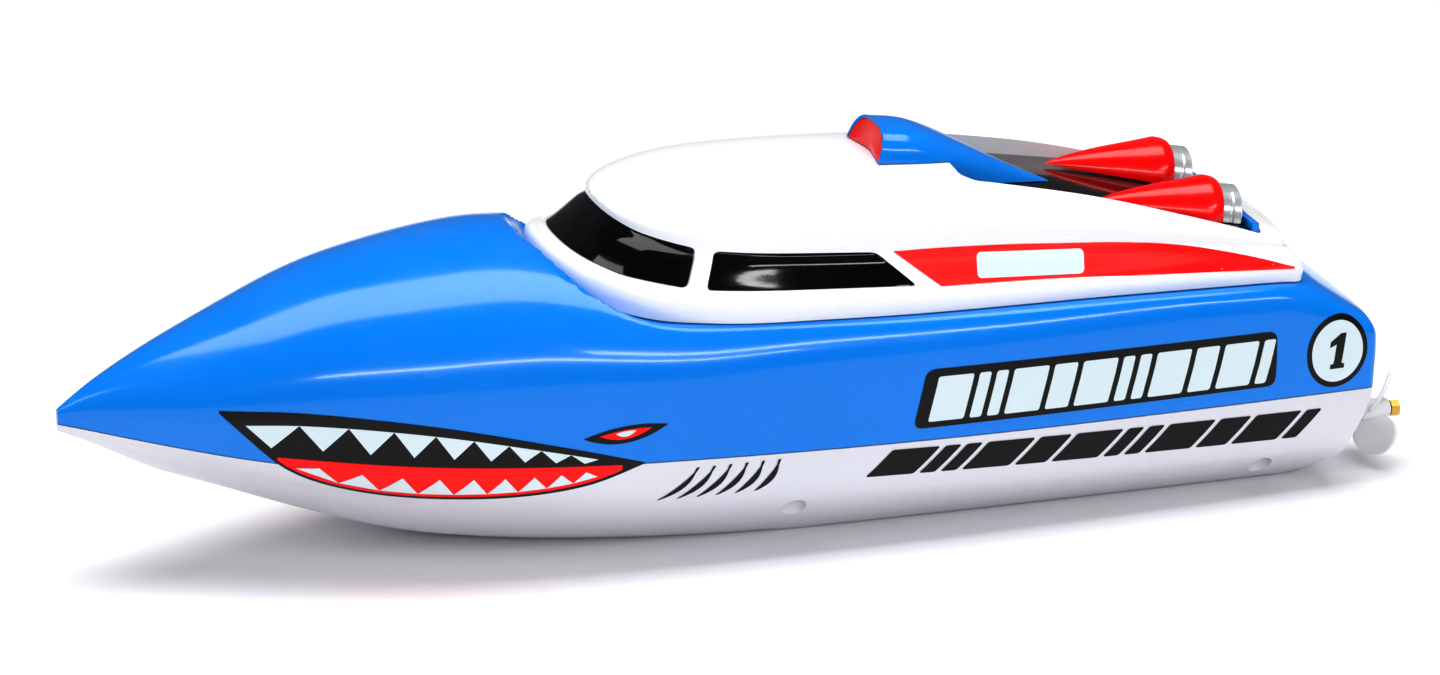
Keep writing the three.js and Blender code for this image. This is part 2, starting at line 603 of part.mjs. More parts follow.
// ---------------------------------------------------------------- what the hull holds
const FLOOR = HULL_WALL + GAP;
function buildElectrics() {
  const { x, length, width, height: tall } = BATTERY;
  const wall = BATTERY_TRAY_WALL;
  const low = FLOOR + wall + GAP;
  const trayHeight = tall / 2 + wall;
  const [pocketLength, pocketWidth] = [length + 2, width + 2];
  const [tubLength, tubWidth] = [pocketLength + 2 * wall, pocketWidth + 2 * wall];
  const tub = block(x, 0, FLOOR + trayHeight / 2, tubLength, tubWidth, trayHeight);
  const pocket = block(x, 0, FLOOR + wall + tall, pocketLength, pocketWidth, 2 * tall);
  add(boat, "battery_tray", tub.subtract(pocket), BLACK_PLASTIC);
  const cellRadius = tall / 2;
  const cell = bar(x - length / 2, x + length / 2, cellRadius);
  let pack = block(x, 0, low + cellRadius, length, width - 2 * cellRadius, tall);
  for (const side of [1, -1])
    pack = pack.add(moved(cell, 0, side * (width / 2 - cellRadius), low + cellRadius));
  add(boat, "battery_pack", pack, BATTERY_WRAP);

  const board = BOARD;
  const plate = block(board.x, 0, board.z, board.length, board.width, board.thickness);
  add(boat, "circuit_board", plate, BOARD_GREEN);
  const top = board.z + board.thickness / 2 + GAP;
  add(boat, "receiver_chip", block(board.x + 10, 0, top + 0.7, 9, 9, 1.4), BLACK_PLASTIC);
  add(boat, "power_capacitor", post(board.x - 14, 9, top, top + 8, 3, SMALL_SIDES), SILVER);
  const socket = block(board.x + board.length / 2 - 5, -10, top + 2.6, 7, 8, 5.2);
  add(boat, "battery_socket", socket, WHITE_PLASTIC);
  const under = board.z - board.thickness / 2 - GAP;
  for (const side of [1, -1]) {
    const y = side * (board.width / 2 - 4);
    const support = post(board.x + 12, y, FLOOR, under, 2, SMALL_SIDES);
    add(boat, `board_post_${sideName(side)}`, support, WHITE_PLASTIC);
  }
}

// A wire along a smooth curve through its points.
function wire(name, points, material) {
  const path = new THREE.CatmullRomCurve3(points.map((p) => new THREE.Vector3(...p)));
  const shape = new THREE.Shape();
  shape.absarc(0, 0, WIRE_RADIUS, 0, 2 * Math.PI);
  const options = { steps: 16, extrudePath: path, curveSegments: 4, bevelEnabled: false };
  add(boat, name, solid(new THREE.ExtrudeGeometry(shape, options)), material);
}

function buildWires() {
  const end = BATTERY.x - BATTERY.length / 2 - GAP - WIRE_RADIUS;
  const socketX = BOARD.x + BOARD.length / 2 - 1.5 + GAP + WIRE_RADIUS;
  const top = BOARD.z + BOARD.thickness / 2 + GAP;
  wire("battery_lead", [[end + BATTERY.length + 2.6, -3, 15], [end + BATTERY.length + 7, -10, 19],
    [end + BATTERY.length + 2, -20, 27], [end + 30, -22, 34], [socketX + 8, -14, top + 2.6],
    [socketX, -10, top + 2.6]], WIRE_RED);
  wire("antenna_wire", [[BOARD.x + 18, 12, top + WIRE_RADIUS], [BOARD.x + 31, 23, 41], [BOARD.x + 60, 27, 43],
    [BOARD.x + 90, 27, 43], [BOARD.x + 115, 20, 43]], WIRE_BLACK);
}

// ---------------------------------------------------------------- drives
const motorTail = MOTOR_START + MOTOR_LENGTH;
const cutFlats = (shape, start, end) =>
  [1, -1].reduce((cut, side) => {
    const depth = MOTOR_RADIUS;
    const z = side * (MOTOR_FLAT / 2 + depth / 2);
    return cut.subtract(block((start + end) / 2, 0, z, end - start + 2, 2 * MOTOR_RADIUS + 1, depth));
  }, shape);

// A propeller whose blades are handed, so that the two turn opposite ways.
function propeller(side) {
  const half = HUB_LENGTH / 2;
  const rear = [[-half, 0], [-half, HUB_RADIUS * 0.8], [-half + 1, HUB_RADIUS]];
  let made = turned([...rear, [half, HUB_RADIUS], [half, 0]]);
  const blade = new THREE.Shape();
  const reach = PROP_RADIUS - HUB_RADIUS * 0.4;
  blade.absellipse(0, HUB_RADIUS * 0.4 + reach / 2, PROP_CHORD / 2, reach / 2, 0, 2 * Math.PI);
  const options = { depth: BLADE_THICKNESS, bevelEnabled: false, curveSegments: 5 };
  for (let k = 0; k < PROP_BLADES; k++) {
    const plate = new THREE.ExtrudeGeometry(blade, options);
    plate.translate(0, 0, -BLADE_THICKNESS / 2);
    plate.rotateY(Math.PI / 2 - side * PROP_PITCH);
    const turn = (2 * Math.PI * k) / PROP_BLADES - Math.PI / 5;
    plate.rotateX(side > 0 ? turn : Math.PI - turn);
    made = made.add(solid(plate));
  }
  return made.subtract(bar(-HUB_LENGTH, HUB_LENGTH, SHAFT_RADIUS + GAP, SMALL_SIDES));
}

// The tube through the hull, and the gland outside that seals it.
function buildSternTube(side, frame) {
  const name = sideName(side);
  const bore = bar(-BEAM, BEAM, SHAFT_RADIUS + RUNNING_CLEARANCE, SMALL_SIDES);
  const tube = bar(TUBE_START, TUBE_START + TUBE_LENGTH, TUBE_RADIUS, SMALL_SIDES).subtract(bore);
  add(frame, `stern_tube_${name}`, tube, BRASS);
  const [rear, front] = [TUBE_START + 0.8, TUBE_START + 14];
  const cone = [[rear, 0], [rear, TUBE_RADIUS + 0.8], [TUBE_START + 6, GLAND_RADIUS]];
  const gland = turned([...cone, [front, GLAND_RADIUS], [front, 0]]);
  const tubeBore = bar(-BEAM, BEAM, TUBE_RADIUS + GAP, SMALL_SIDES);
  frame.updateMatrix();
  const hullHere = moved(outside.transform(frame.matrix.clone().invert().toArray()), -GAP, 0, 0);
  add(frame, `shaft_gland_${name}`, gland.subtract(tubeBore).subtract(hullHere), WHITE_PLASTIC);
}

function buildMotor(side, frame) {
  const name = sideName(side);
  const noseLength = 6;
  const boreEnd = MOTOR_START + noseLength + 0.5;
  const noseBore = bar(MOTOR_START - BEAM, boreEnd, SHAFT_RADIUS + RUNNING_CLEARANCE, SMALL_SIDES);
  const capStart = motorTail - 4;
  const nose = bar(MOTOR_START - 1.6, MOTOR_START + 1, 3.1, SMALL_SIDES);
  const can = cutFlats(bar(MOTOR_START, capStart, MOTOR_RADIUS), MOTOR_START, motorTail).add(nose);
  add(frame, `motor_can_${name}`, can.subtract(noseBore), SILVER);
  const tail = bar(motorTail - 1, motorTail + 1.4, 3, SMALL_SIDES);
  const cap = cutFlats(bar(capStart + GAP, motorTail, MOTOR_RADIUS), MOTOR_START, motorTail).add(tail);
  add(frame, `motor_end_cap_${name}`, cap, WHITE_PLASTIC);

  const lead = [[motorTail + 3.6, 0, 3], [motorTail + 7, -side * 2, 9]];
  const points = lead.map((p) => new THREE.Vector3(...p).applyMatrix4(frame.matrix).toArray());
  const under = BOARD.z - BOARD.thickness / 2 - GAP - WIRE_RADIUS;
  points.push([BOARD.x + 17, side * 9, under - 3], [BOARD.x + 6, side * 6, under - 0.2]);
  wire(`motor_lead_${name}`, points, side > 0 ? WIRE_RED : WIRE_BLACK);
}

function buildDrive(side) {
  const name = sideName(side);
  const frame = shaftFrame(side);
  boat.add(frame);
  const aftEnd = -HUB_LENGTH / 2 - 3;
  const frontEnd = aftEnd + SHAFT_LENGTH;
  const shaftBore = bar(-BEAM, 2 * BEAM, SHAFT_RADIUS + GAP, SMALL_SIDES);
  add(frame, `propeller_${name}`, propeller(side), WHITE_PLASTIC);
  add(frame, `prop_shaft_${name}`, bar(aftEnd, frontEnd, SHAFT_RADIUS, SMALL_SIDES), STEEL);
  const nut = bar(aftEnd + 0.4, -HUB_LENGTH / 2 - GAP, 2.2, 6).subtract(shaftBore);
  add(frame, `prop_nut_${name}`, nut, BRASS);
  buildSternTube(side, frame);
  const couplerStart = frontEnd - COUPLER_LENGTH / 2;
  const coupler = bar(couplerStart, couplerStart + COUPLER_LENGTH, COUPLER_RADIUS).subtract(shaftBore);
  add(frame, `shaft_coupler_${name}`, coupler, RUBBER);
  const motorShaft = bar(frontEnd + GAP, MOTOR_START + 6, SHAFT_RADIUS, SMALL_SIDES);
  add(frame, `motor_shaft_${name}`, motorShaft, STEEL);
  buildMotor(side, frame);
}

function buildMotorBracket() {
  const reach = { start: MOTOR_START + 6, end: MOTOR_START + 16 };
  const x = PROP_X + Math.cos(DRIVE_TILT) * ((reach.start + reach.end) / 2);
  const halfSpan = DRIVE_SPREAD + MOTOR_RADIUS + 2;
  const seatZ = PROP_Z + Math.sin(DRIVE_TILT) * reach.start;
  let bracket = block(x, 0, (FLOOR + seatZ) / 2, 9, 2 * halfSpan, seatZ - FLOOR);
  const middle = (reach.start + reach.end) / 2;
  const socketWidth = 2 * (MOTOR_RADIUS + GAP);
  for (const side of [1, -1]) {
    const socket = bar(reach.start - 9, reach.end + 9, socketWidth / 2);
    const mouth = block(middle, 0, MOTOR_RADIUS, 40, socketWidth, 2 * MOTOR_RADIUS);
    bracket = bracket.subtract(inShaftFrame(socket, side)).subtract(inShaftFrame(mouth, side));
  }
  const room = moved(inside, 0, 0, GAP).intersect(block(x, 0, BEAM / 2, 12, BEAM - 4, BEAM));
  add(boat, "motor_bracket", bracket.intersect(room), BLACK_PLASTIC);
}

// ---------------------------------------------------------------- cabin cover
const RECESS_SLOPE = Math.atan2(RECESS_FRONT_Z - RECESS_REAR_Z, RECESS_FRONT_X - RECESS_REAR_X);
const recessFloor = (x) => RECESS_REAR_Z + (x - RECESS_REAR_X) * Math.tan(RECESS_SLOPE);

function recessOutline(grow) {
  const [front, rear] = [RECESS_FRONT_X + grow, RECESS_REAR_X - grow];
  const [frontHalf, rearHalf] = [RECESS_FRONT_WIDTH / 2 + grow, RECESS_REAR_WIDTH / 2 + grow];
  const chamfer = 3;
  const half = [[front, frontHalf - chamfer], [front - chamfer, frontHalf], [rear, rearHalf]];
  const starboard = half.map(([x, y]) => [x, -y]).reverse();
  return [...half, ...starboard].map(([x, y]) => new THREE.Vector2(x, y));
}

// The slab between two heights above the recess's sloping floor.
function overFloor(low, high) {
  const [x0, x1] = [0, HULL_LENGTH];
  return acrossBoat([[x0, recessFloor(x0) + low], [x1, recessFloor(x1) + low],
    [x1, recessFloor(x1) + high], [x0, recessFloor(x0) + high]]);
}

// Window openings as outlines in the XZ plane: shares of the cover's length from its rear, and heights.
const atCover = ([t, z]) => [along(t), z * ROOF_SHARE];
const SIDE_WINDOW = [[0.537, 66.5], [0.815, 70.4], [0.799, 79.2], [0.588, 75.4]].map(atCover);
const WINDSHIELD = [[0.837, 70.9], [0.91, 73.3], [0.945, 75.5], [0.98, 78.3], [1.06, 84], [1.01, 92],
  [0.918, 85], [0.88, 82.3], [0.819, 79.8]].map(atCover);

function shrunk(outline, amount) {
  const middle = [0, 1].map((i) => outline.reduce((sum, p) => sum + p[i] / outline.length, 0));
  return outline.map(([x, z]) => {
    const [dx, dz] = [x - middle[0], z - middle[1]];
    const reach = Math.hypot(dx, dz);
    return [x - (dx / reach) * amount, z - (dz / reach) * amount];
  });
}

const PANE_SINK = 0.5; // how far the panes lie below the cover's skin
const PANE_WALL = 1.2;

function buildCover() {
  const full = coverBody(0);
  const shell = full.subtract(coverBody(COVER_WALL));
  const high = 2 * COVER_TOP;
  const coaming = column(recessOutline(RECESS_WALL), 0, high)
    .intersect(full)
    .intersect(overFloor(-PANEL_THICKNESS - TRAY_THICKNESS, high));
  const recess = column(recessOutline(0), 0, high);
  const deckBelow = moved(outside, 0, 0, GAP);
  const sideCut = acrossBoat(SIDE_WINDOW);
  const frontCut = acrossBoat(WINDSHIELD);
  const cover = shell.add(coaming).subtract(recess).subtract(deckBelow);
  add(boat, "cabin_cover", cover.subtract(sideCut).subtract(frontCut), WHITE_PLASTIC);

  const paneSkin = coverBody(PANE_SINK).subtract(coverBody(PANE_SINK + PANE_WALL));
  add(boat, "windshield", paneSkin.intersect(acrossBoat(shrunk(WINDSHIELD, GAP))), BLACK_GLOSS);
  for (const side of [1, -1]) {
    const half = block(HULL_LENGTH / 2, (side * BEAM) / 2, BEAM / 2, 2 * HULL_LENGTH, BEAM - 20, 2 * BEAM);
    const pane = paneSkin.intersect(acrossBoat(shrunk(SIDE_WINDOW, GAP * 1.6))).intersect(half);
    add(boat, `side_window_${sideName(side)}`, pane, BLACK_GLOSS);
  }
  buildRecess(full.subtract(recess));
}

function buildRecess(coverWithRecess) {
  const [low, high] = [-PANEL_THICKNESS - TRAY_THICKNESS, 2 * COVER_TOP];
  const opening = column(recessOutline(-GAP), 0, high);
  const lipEnd = RECESS_REAR_X + GAP + TRAY_LIP;
  const plate = opening.intersect(overFloor(low, -PANEL_THICKNESS - GAP));
  const behind = block(lipEnd - BEAM / 2, 0, BEAM, BEAM, BEAM, 2 * BEAM);
  const lip = opening.intersect(overFloor(low, 1.6)).intersect(behind);
  add(boat, "engine_tray", plate.add(lip), BLUE_PLASTIC);
  const ahead = block(lipEnd + GAP + HULL_LENGTH / 2, 0, BEAM, HULL_LENGTH, BEAM, 2 * BEAM);
  const panel = opening.intersect(overFloor(-PANEL_THICKNESS, 0)).intersect(ahead);
  add(boat, "tray_panel", panel, BLACK_GLOSS);
  buildScoop(coverWithRecess);
  [1, -1].forEach(buildCowl);
}

// The scoop's ridge and half-width from its mouth, 0, to its tail, 1.
const scoopRidge = fair([[0, 1], [0.2, 0.93], [0.45, 0.7], [0.75, 0.32], [1, 0.02]]);
const scoopHalf = fair([[0, 1], [0.3, 0.97], [0.6, 0.72], [0.85, 0.36], [1, 0.1]]);
const SCOOP_FULLNESS = 2.7;
const SCOOP_STEPS = 9;
const SCOOP_ARCH = 8;

function scoopBody(wall, length) {
  const tailZ = recessFloor(SCOOP_MOUTH_X - SCOOP_LENGTH);
  const foot = tailZ - 6;
  const rings = [];
  for (let s = 0; s <= SCOOP_STEPS; s++) {
    const share = (s / SCOOP_STEPS) * (length / SCOOP_LENGTH);
    const top = tailZ + (SCOOP_TOP_Z - tailZ) * scoopRidge(share) - wall;
    const half = (SCOOP_WIDTH / 2) * scoopHalf(share) - wall;
    const spring = top - Math.min(9, (top - foot) * 0.8);
    const ring = [];
    for (let k = 0; k <= SCOOP_ARCH; k++) {
      const angle = (k / SCOOP_ARCH) * Math.PI;
      const y = half * Math.sign(Math.cos(angle)) * Math.abs(Math.cos(angle)) ** (2 / SCOOP_FULLNESS);
      const z = spring + (top - spring) * Math.sin(angle) ** (2 / SCOOP_FULLNESS);
      ring.push([y, z]);
    }
    ring.push([-half, foot], [half, foot]);
    const lean = SCOOP_RAKE * (1 - share);
    const mouthFoot = SCOOP_TOP_Z - 8;
    rings.push(ring.map(([y, z]) => {
      const back = lean * (z - mouthFoot);
      return new THREE.Vector3(SCOOP_MOUTH_X - share * SCOOP_LENGTH - Math.max(back, 0), y, z);
    }));
  }
  return loft(rings);
}

function buildScoop(coverWithRecess) {
  const recess = column(recessOutline(GAP), 0, 2 * COVER_TOP);
  const floor = moved(coverWithRecess, 0, 0, GAP).add(overFloor(-BEAM, GAP).intersect(recess));
  const ductLength = 14;
  const duct = moved(scoopBody(SCOOP_WALL, ductLength), 0.6, 0, 0);
  const above = moved(coverWithRecess, 0, 0, GAP + SCOOP_WALL);
  const scoop = scoopBody(0, SCOOP_LENGTH).subtract(floor).subtract(duct.subtract(above));
  add(boat, "intake_scoop", scoop, BLUE_PLASTIC);
  const slice = moved(scoopBody(SCOOP_WALL + GAP, ductLength), -0.7, 0, 0);
  const ahead = moved(scoopBody(-1, SCOOP_LENGTH), -0.7 - SCOOP_INSERT, 0, 0);
  const insert = slice.subtract(ahead).subtract(moved(coverWithRecess, 0, 0, 2 * GAP + SCOOP_WALL));
  add(boat, "scoop_insert", insert, RED_PLASTIC);
}

function buildCowl(side) {
  const name = sideName(side);
  const frame = new THREE.Group();
  frame.position.set(COWL_TIP_X, side * COWL_SPREAD, recessFloor(COWL_TIP_X) + GAP);
  frame.rotation.y = -RECESS_SLOPE;
  boat.add(frame);
  const above = block(0, 0, BEAM / 2, 2 * BEAM, BEAM, BEAM);
  const pocket = COWL_RADIUS - COWL_WALL;
  const rear = -COWL_LENGTH;
  const skin = [[0, 0], [-3, 1.5], [0.75 * rear, 0.86 * COWL_RADIUS], [rear + 3, COWL_RADIUS]];
  const mouth = [[rear, COWL_RADIUS - 0.6], [rear, pocket], [rear + 8, pocket], [rear + 8, 0]];
  add(frame, `jet_cowl_${name}`, turned([...skin, ...mouth]).intersect(above), RED_PLASTIC);
  const outer = pocket - GAP;
  const end = rear - NOZZLE_SHOWING;
  const bore = bar(end - 1, end + NOZZLE_LENGTH - 2, outer - NOZZLE_WALL);
  const nozzle = bar(end, end + NOZZLE_LENGTH, outer).subtract(bore);
  add(frame, `jet_nozzle_${name}`, nozzle.intersect(above), SILVER);
}

// ---------------------------------------------------------------- the boat
buildHull();
buildHatch();
buildSwitch();
buildElectrics();
buildWires();
buildMotorBracket();
[1, -1].forEach(buildDrive);
buildCover();

boat.updateMatrixWorld(true);
boat.position.x = -new THREE.Box3().setFromObject(boat).getCenter(new THREE.Vector3()).x;

export default boat;
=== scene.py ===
"""Looks of a toy radio-controlled speedboat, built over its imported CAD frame.

Sizes are millimetres and become metres as they are placed. Along the boat they are counted from the
transom towards the bow, across it from the centreline to port, and up from the flat bottom.
"""
from __future__ import annotations

import json
import logging
import math
from dataclasses import dataclass, field
from enum import Enum
from typing import Callable, Iterable, Sequence

import bpy
from mathutils import Matrix, Vector
from mathutils.bvhtree import BVHTree
from mathutils.geometry import delaunay_2d_cdt
from mathutils.kdtree import KDTree

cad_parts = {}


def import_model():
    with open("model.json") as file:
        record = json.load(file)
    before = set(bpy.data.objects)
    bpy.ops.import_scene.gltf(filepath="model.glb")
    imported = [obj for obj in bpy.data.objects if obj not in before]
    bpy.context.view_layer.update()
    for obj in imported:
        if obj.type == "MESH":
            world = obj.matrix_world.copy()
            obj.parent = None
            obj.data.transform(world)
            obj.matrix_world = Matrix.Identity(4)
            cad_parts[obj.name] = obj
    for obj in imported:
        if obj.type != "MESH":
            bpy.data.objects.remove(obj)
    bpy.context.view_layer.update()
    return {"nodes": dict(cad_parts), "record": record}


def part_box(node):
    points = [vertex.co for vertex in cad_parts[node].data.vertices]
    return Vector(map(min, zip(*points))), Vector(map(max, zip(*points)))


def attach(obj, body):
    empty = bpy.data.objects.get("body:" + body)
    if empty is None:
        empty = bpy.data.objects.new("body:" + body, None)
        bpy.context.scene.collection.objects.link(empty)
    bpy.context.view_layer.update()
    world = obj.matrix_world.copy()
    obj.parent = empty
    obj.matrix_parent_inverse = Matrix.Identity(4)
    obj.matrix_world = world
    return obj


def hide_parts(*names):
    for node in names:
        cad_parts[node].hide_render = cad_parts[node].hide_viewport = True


LOG = logging.getLogger("boat")
MM = 0.001
MIDSHIP = 160.4736
"""From the transom to the middle of the whole boat, propellers included."""

Pair = tuple[float, float]
Colour = tuple[float, float, float]


def place(x: float, y: float, z: float) -> Vector:
    """A point of the boat, from millimetres off the transom to metres in the frame."""
    return Vector(((x - MIDSHIP) * MM, y * MM, z * MM))


def clamp(value: float, low: float = 0.0, high: float = 1.0) -> float:
    """The value, kept between two limits."""
    return max(low, min(high, value))


def soft_min(a: float, b: float, blend: float) -> float:
    """The lesser of two heights, with the corner between them rounded over a blend."""
    share = clamp(0.5 + 0.5 * (b - a) / blend)
    return b + (a - b) * share - blend * share * (1 - share)


class Side(Enum):
    """The two sides of the boat, by the sign of Y."""

    PORT = 1
    STARBOARD = -1

    @property
    def label(self) -> str:
        """The side's name as the nodes write it."""
        return self.name.lower()


class Line:
    """A fair curve through pairs of position and value, straight beyond its ends."""

    def __init__(self, *pairs: Pair, soften: float = 0.0, scale: float = 1.0) -> None:
        """Keeps the pairs.

        Args:
            pairs: position and value, in rising order of position.
            soften: how far apart, in position, neighbouring values are averaged.
            scale: what every value is multiplied by.
        """
        self.at = [p for p, _ in pairs]
        self.values = [v * scale for _, v in pairs]
        self.soften = soften

    def _slope(self, i: int) -> float:
        """The slope at a pair: the mean of the slopes beside it."""
        slopes = []
        for a, b in ((i - 1, i), (i, i + 1)):
            if a >= 0 and b < len(self.at):
                slopes.append((self.values[b] - self.values[a]) / (self.at[b] - self.at[a]))
        return sum(slopes) / len(slopes)

    def _bare(self, t: float) -> float:
        """The curve before softening."""
        if t <= self.at[0]:
            return self.values[0] + (t - self.at[0]) * self._slope(0)
        if t >= self.at[-1]:
            return self.values[-1] + (t - self.at[-1]) * self._slope(len(self.at) - 1)
        i = max(k for k, p in enumerate(self.at[:-1]) if p <= t)
        width = self.at[i + 1] - self.at[i]
        s = (t - self.at[i]) / width
        low, high = self.values[i], self.values[i + 1]
        bend = s * s * (3 - 2 * s)
        rise = width * (self._slope(i) * s * (1 - s) ** 2 - self._slope(i + 1) * s * s * (1 - s))
        return low + (high - low) * bend + rise

    def __call__(self, t: float) -> float:
        """The value at a position, held at the ends."""
        t = clamp(t, self.at[0], self.at[-1])
        if not self.soften:
            return self._bare(t)
        total = 0.0
        for step, weight in ((-2, 1), (-1, 4), (0, 6), (1, 4), (2, 1)):
            total += weight * self._bare(t + step * self.soften) / 16
        return total


def spread(points: Sequence[Vector], count: int) -> list[Vector]:
    """The same line of points, spaced evenly along it.

    Args:
        points: a line of points.
        count: how many even steps to lay along it.

    Returns:
        count + 1 points, the first and last unchanged.
    """
    lengths = [0.0]
    for a, b in zip(points, points[1:]):
        lengths.append(lengths[-1] + (b - a).length)
    made, k = [], 0
    for step in range(count + 1):
        want = lengths[-1] * step / count
        while k < len(points) - 2 and lengths[k + 1] < want:
            k += 1
        span = max(lengths[k + 1] - lengths[k], 1e-12)
        made.append(points[k].lerp(points[k + 1], clamp((want - lengths[k]) / span)))
    return made


# ---------------------------------------------------------------- working on meshes
class Bench:
    """Modelling steps done with Blender's own operators."""

    @staticmethod
    def take(obj: bpy.types.Object) -> None:
        """Makes one object the only one selected."""
        for other in list(bpy.context.selected_objects):
            other.select_set(False)
        obj.select_set(True)
        bpy.context.view_layer.objects.active = obj

    @staticmethod
    def clear() -> None:
        """Selects nothing."""
        for other in list(bpy.context.selected_objects):
            other.select_set(False)

    @staticmethod
    def edit(obj: bpy.types.Object, selected: bool = True) -> None:
        """Opens an object in edit mode with all, or nothing, selected."""
        Bench.take(obj)
        bpy.ops.object.mode_set(mode="EDIT")
        bpy.ops.mesh.select_all(action="SELECT" if selected else "DESELECT")

    @staticmethod
    def close() -> None:
        """Leaves edit mode."""
        bpy.ops.object.mode_set(mode="OBJECT")

    @staticmethod
    def settle(obj: bpy.types.Object) -> None:
        """Moves an object's place, turn and scale into its mesh."""
        Bench.take(obj)
        bpy.ops.object.transform_apply(location=True, rotation=True, scale=True)

    @staticmethod
    def modify(obj: bpy.types.Object, kind: str, **options: object) -> bpy.types.Object:
        """Adds a modifier with its options and applies it.

        Args:
            obj: the object to change.
            kind: the modifier's type.
            options: its settings, by name.

        Returns:
            The same object.
        """
        Bench.take(obj)
        modifier = obj.modifiers.new(kind.lower(), kind)
        for name, value in options.items():
            setattr(modifier, name, value)
        bpy.ops.object.modifier_apply(modifier=modifier.name)
        return obj

    @staticmethod
    def bevel(obj: bpy.types.Object, width: float, segments: int = 2, angle: float = 40) -> bpy.types.Object:
        """Rounds the edges sharper than an angle in degrees, by a width in millimetres."""
        return Bench.modify(
            obj, "BEVEL", width=width * MM, segments=segments, limit_method="ANGLE",
            angle_limit=math.radians(angle), use_clamp_overlap=True,
        )

    @staticmethod
    def smooth(obj: bpy.types.Object, angle: float = 32) -> bpy.types.Object:
        """Shades an object smooth where its faces meet at less than an angle in degrees."""
        Bench.take(obj)
        bpy.ops.object.shade_smooth_by_angle(angle=math.radians(angle))
        return obj

    @staticmethod
    def outwards(obj: bpy.types.Object) -> bpy.types.Object:
        """Merges doubled points and turns every face outwards."""
        Bench.edit(obj)
        bpy.ops.mesh.remove_doubles(threshold=1e-6)
        bpy.ops.mesh.normals_make_consistent(inside=False)
        Bench.close()
        return obj

    @staticmethod
    def prism(outline: Sequence[Vector], reach: Vector) -> bpy.types.Object:
        """A straight-sided solid: a flat outline, pulled along a reach."""
        Bench.clear()
        bpy.ops.mesh.primitive_circle_add(vertices=len(outline), radius=0.01, fill_type="NGON")
        obj = bpy.context.object
        for vertex, point in zip(obj.data.vertices, outline):
            vertex.co = point
        Bench.edit(obj)
        bpy.ops.mesh.extrude_region_move(TRANSFORM_OT_translate={"value": reach})
        Bench.close()
        return Bench.outwards(obj)

    @staticmethod
    def spin(profile: Sequence[Pair], sides: int = 48) -> bpy.types.Object:
        """A body turned about the X axis from pairs of x and radius, in millimetres."""
        Bench.clear()
        bpy.ops.mesh.primitive_circle_add(vertices=len(profile), radius=0.01, fill_type="NOTHING")
        obj = bpy.context.object
        for vertex, (x, radius) in zip(obj.data.vertices, profile):
            vertex.co = Vector((x, 0, radius)) * MM
        Bench.edit(obj)
        bpy.ops.mesh.spin(steps=sides, angle=2 * math.pi, center=(0, 0, 0), axis=(1, 0, 0))
        bpy.ops.mesh.select_all(action="SELECT")
        bpy.ops.mesh.remove_doubles(threshold=1e-6)
        Bench.close()
        return Bench.outwards(obj)

    @staticmethod
    def post(x: float, y: float, low: float, high: float, radius: float, sides: int = 32) -> bpy.types.Object:
        """An upright round tool, in millimetres."""
        Bench.clear()
        bpy.ops.mesh.primitive_cylinder_add(
            vertices=sides, radius=radius * MM, depth=(high - low) * MM,
            location=place(x, y, (low + high) / 2))
        obj = bpy.context.object
        Bench.settle(obj)
        return obj

    @staticmethod
    def block(centre: Vector, size: Sequence[float]) -> bpy.types.Object:
        """A square tool about a centre in the frame, with its size in millimetres."""
        Bench.clear()
        bpy.ops.mesh.primitive_cube_add(size=1, location=centre)
        obj = bpy.context.object
        obj.scale = Vector(size) * MM
        Bench.settle(obj)
        return obj

    @staticmethod
    def loft(rings: Sequence[Sequence[Vector]]) -> bpy.types.Object:
        """A closed skin through rings of as many points each. Hull forms are faired, not extruded.

        Args:
            rings: rings of points in the frame, in order.

        Returns:
            A closed mesh object whose faces point outwards.
        """
        size = len(rings[0])
        points = [p for ring in rings for p in ring]
        faces = []
        for r in range(len(rings) - 1):
            for k in range(size):
                a, b = r * size + k, r * size + (k + 1) % size
                faces.append((a, b, b + size, a + size))
        for ring, flip in ((0, True), (len(rings) - 1, False)):
            middle = sum(rings[ring], Vector()) / size
            points.append(middle)
            for k in range(size):
                pair = (ring * size + k, ring * size + (k + 1) % size)
                faces.append((*(reversed(pair) if flip else pair), len(points) - 1))
        mesh = bpy.data.meshes.new("skin")
        mesh.from_pydata(points, [], faces)
        obj = bpy.data.objects.new("skin", mesh)
        bpy.context.scene.collection.objects.link(obj)
        return Bench.outwards(obj)

    @staticmethod
    def copy(obj: bpy.types.Object, shift: Pair | Sequence[float] = (0, 0, 0)) -> bpy.types.Object:
        """A copy with its own mesh, moved by millimetres."""
        made = obj.copy()
        made.data = obj.data.copy()
        bpy.context.scene.collection.objects.link(made)
        made.data.transform(Matrix.Translation(Vector(shift) * MM))
        return made

    @staticmethod
    def discard(obj: bpy.types.Object) -> None:
        """Puts a tool away for good."""
        mesh = obj.data
        bpy.data.objects.remove(obj)
        if mesh.users == 0:
            bpy.data.meshes.remove(mesh)

    @staticmethod
    def combine(
        obj: bpy.types.Object, tool: bpy.types.Object, how: str, keep: bool = False,
    ) -> bpy.types.Object:
        """Adds, cuts or intersects one closed body with another.

        Args:
            obj: the body that is changed.
            tool: the other body.
            how: UNION, DIFFERENCE or INTERSECT.
            keep: whether the tool is kept for later.

        Returns:
            The changed body.
        """
        Bench.modify(obj, "BOOLEAN", operation=how, object=tool, solver="MANIFOLD")
        if not keep:
            Bench.discard(tool)
        return obj

    @staticmethod
    def join(first: bpy.types.Object, *others: bpy.types.Object) -> bpy.types.Object:
        """Puts several shells in one mesh."""
        Bench.take(first)
        for other in others:
            other.select_set(True)
        bpy.ops.object.join()
        return first


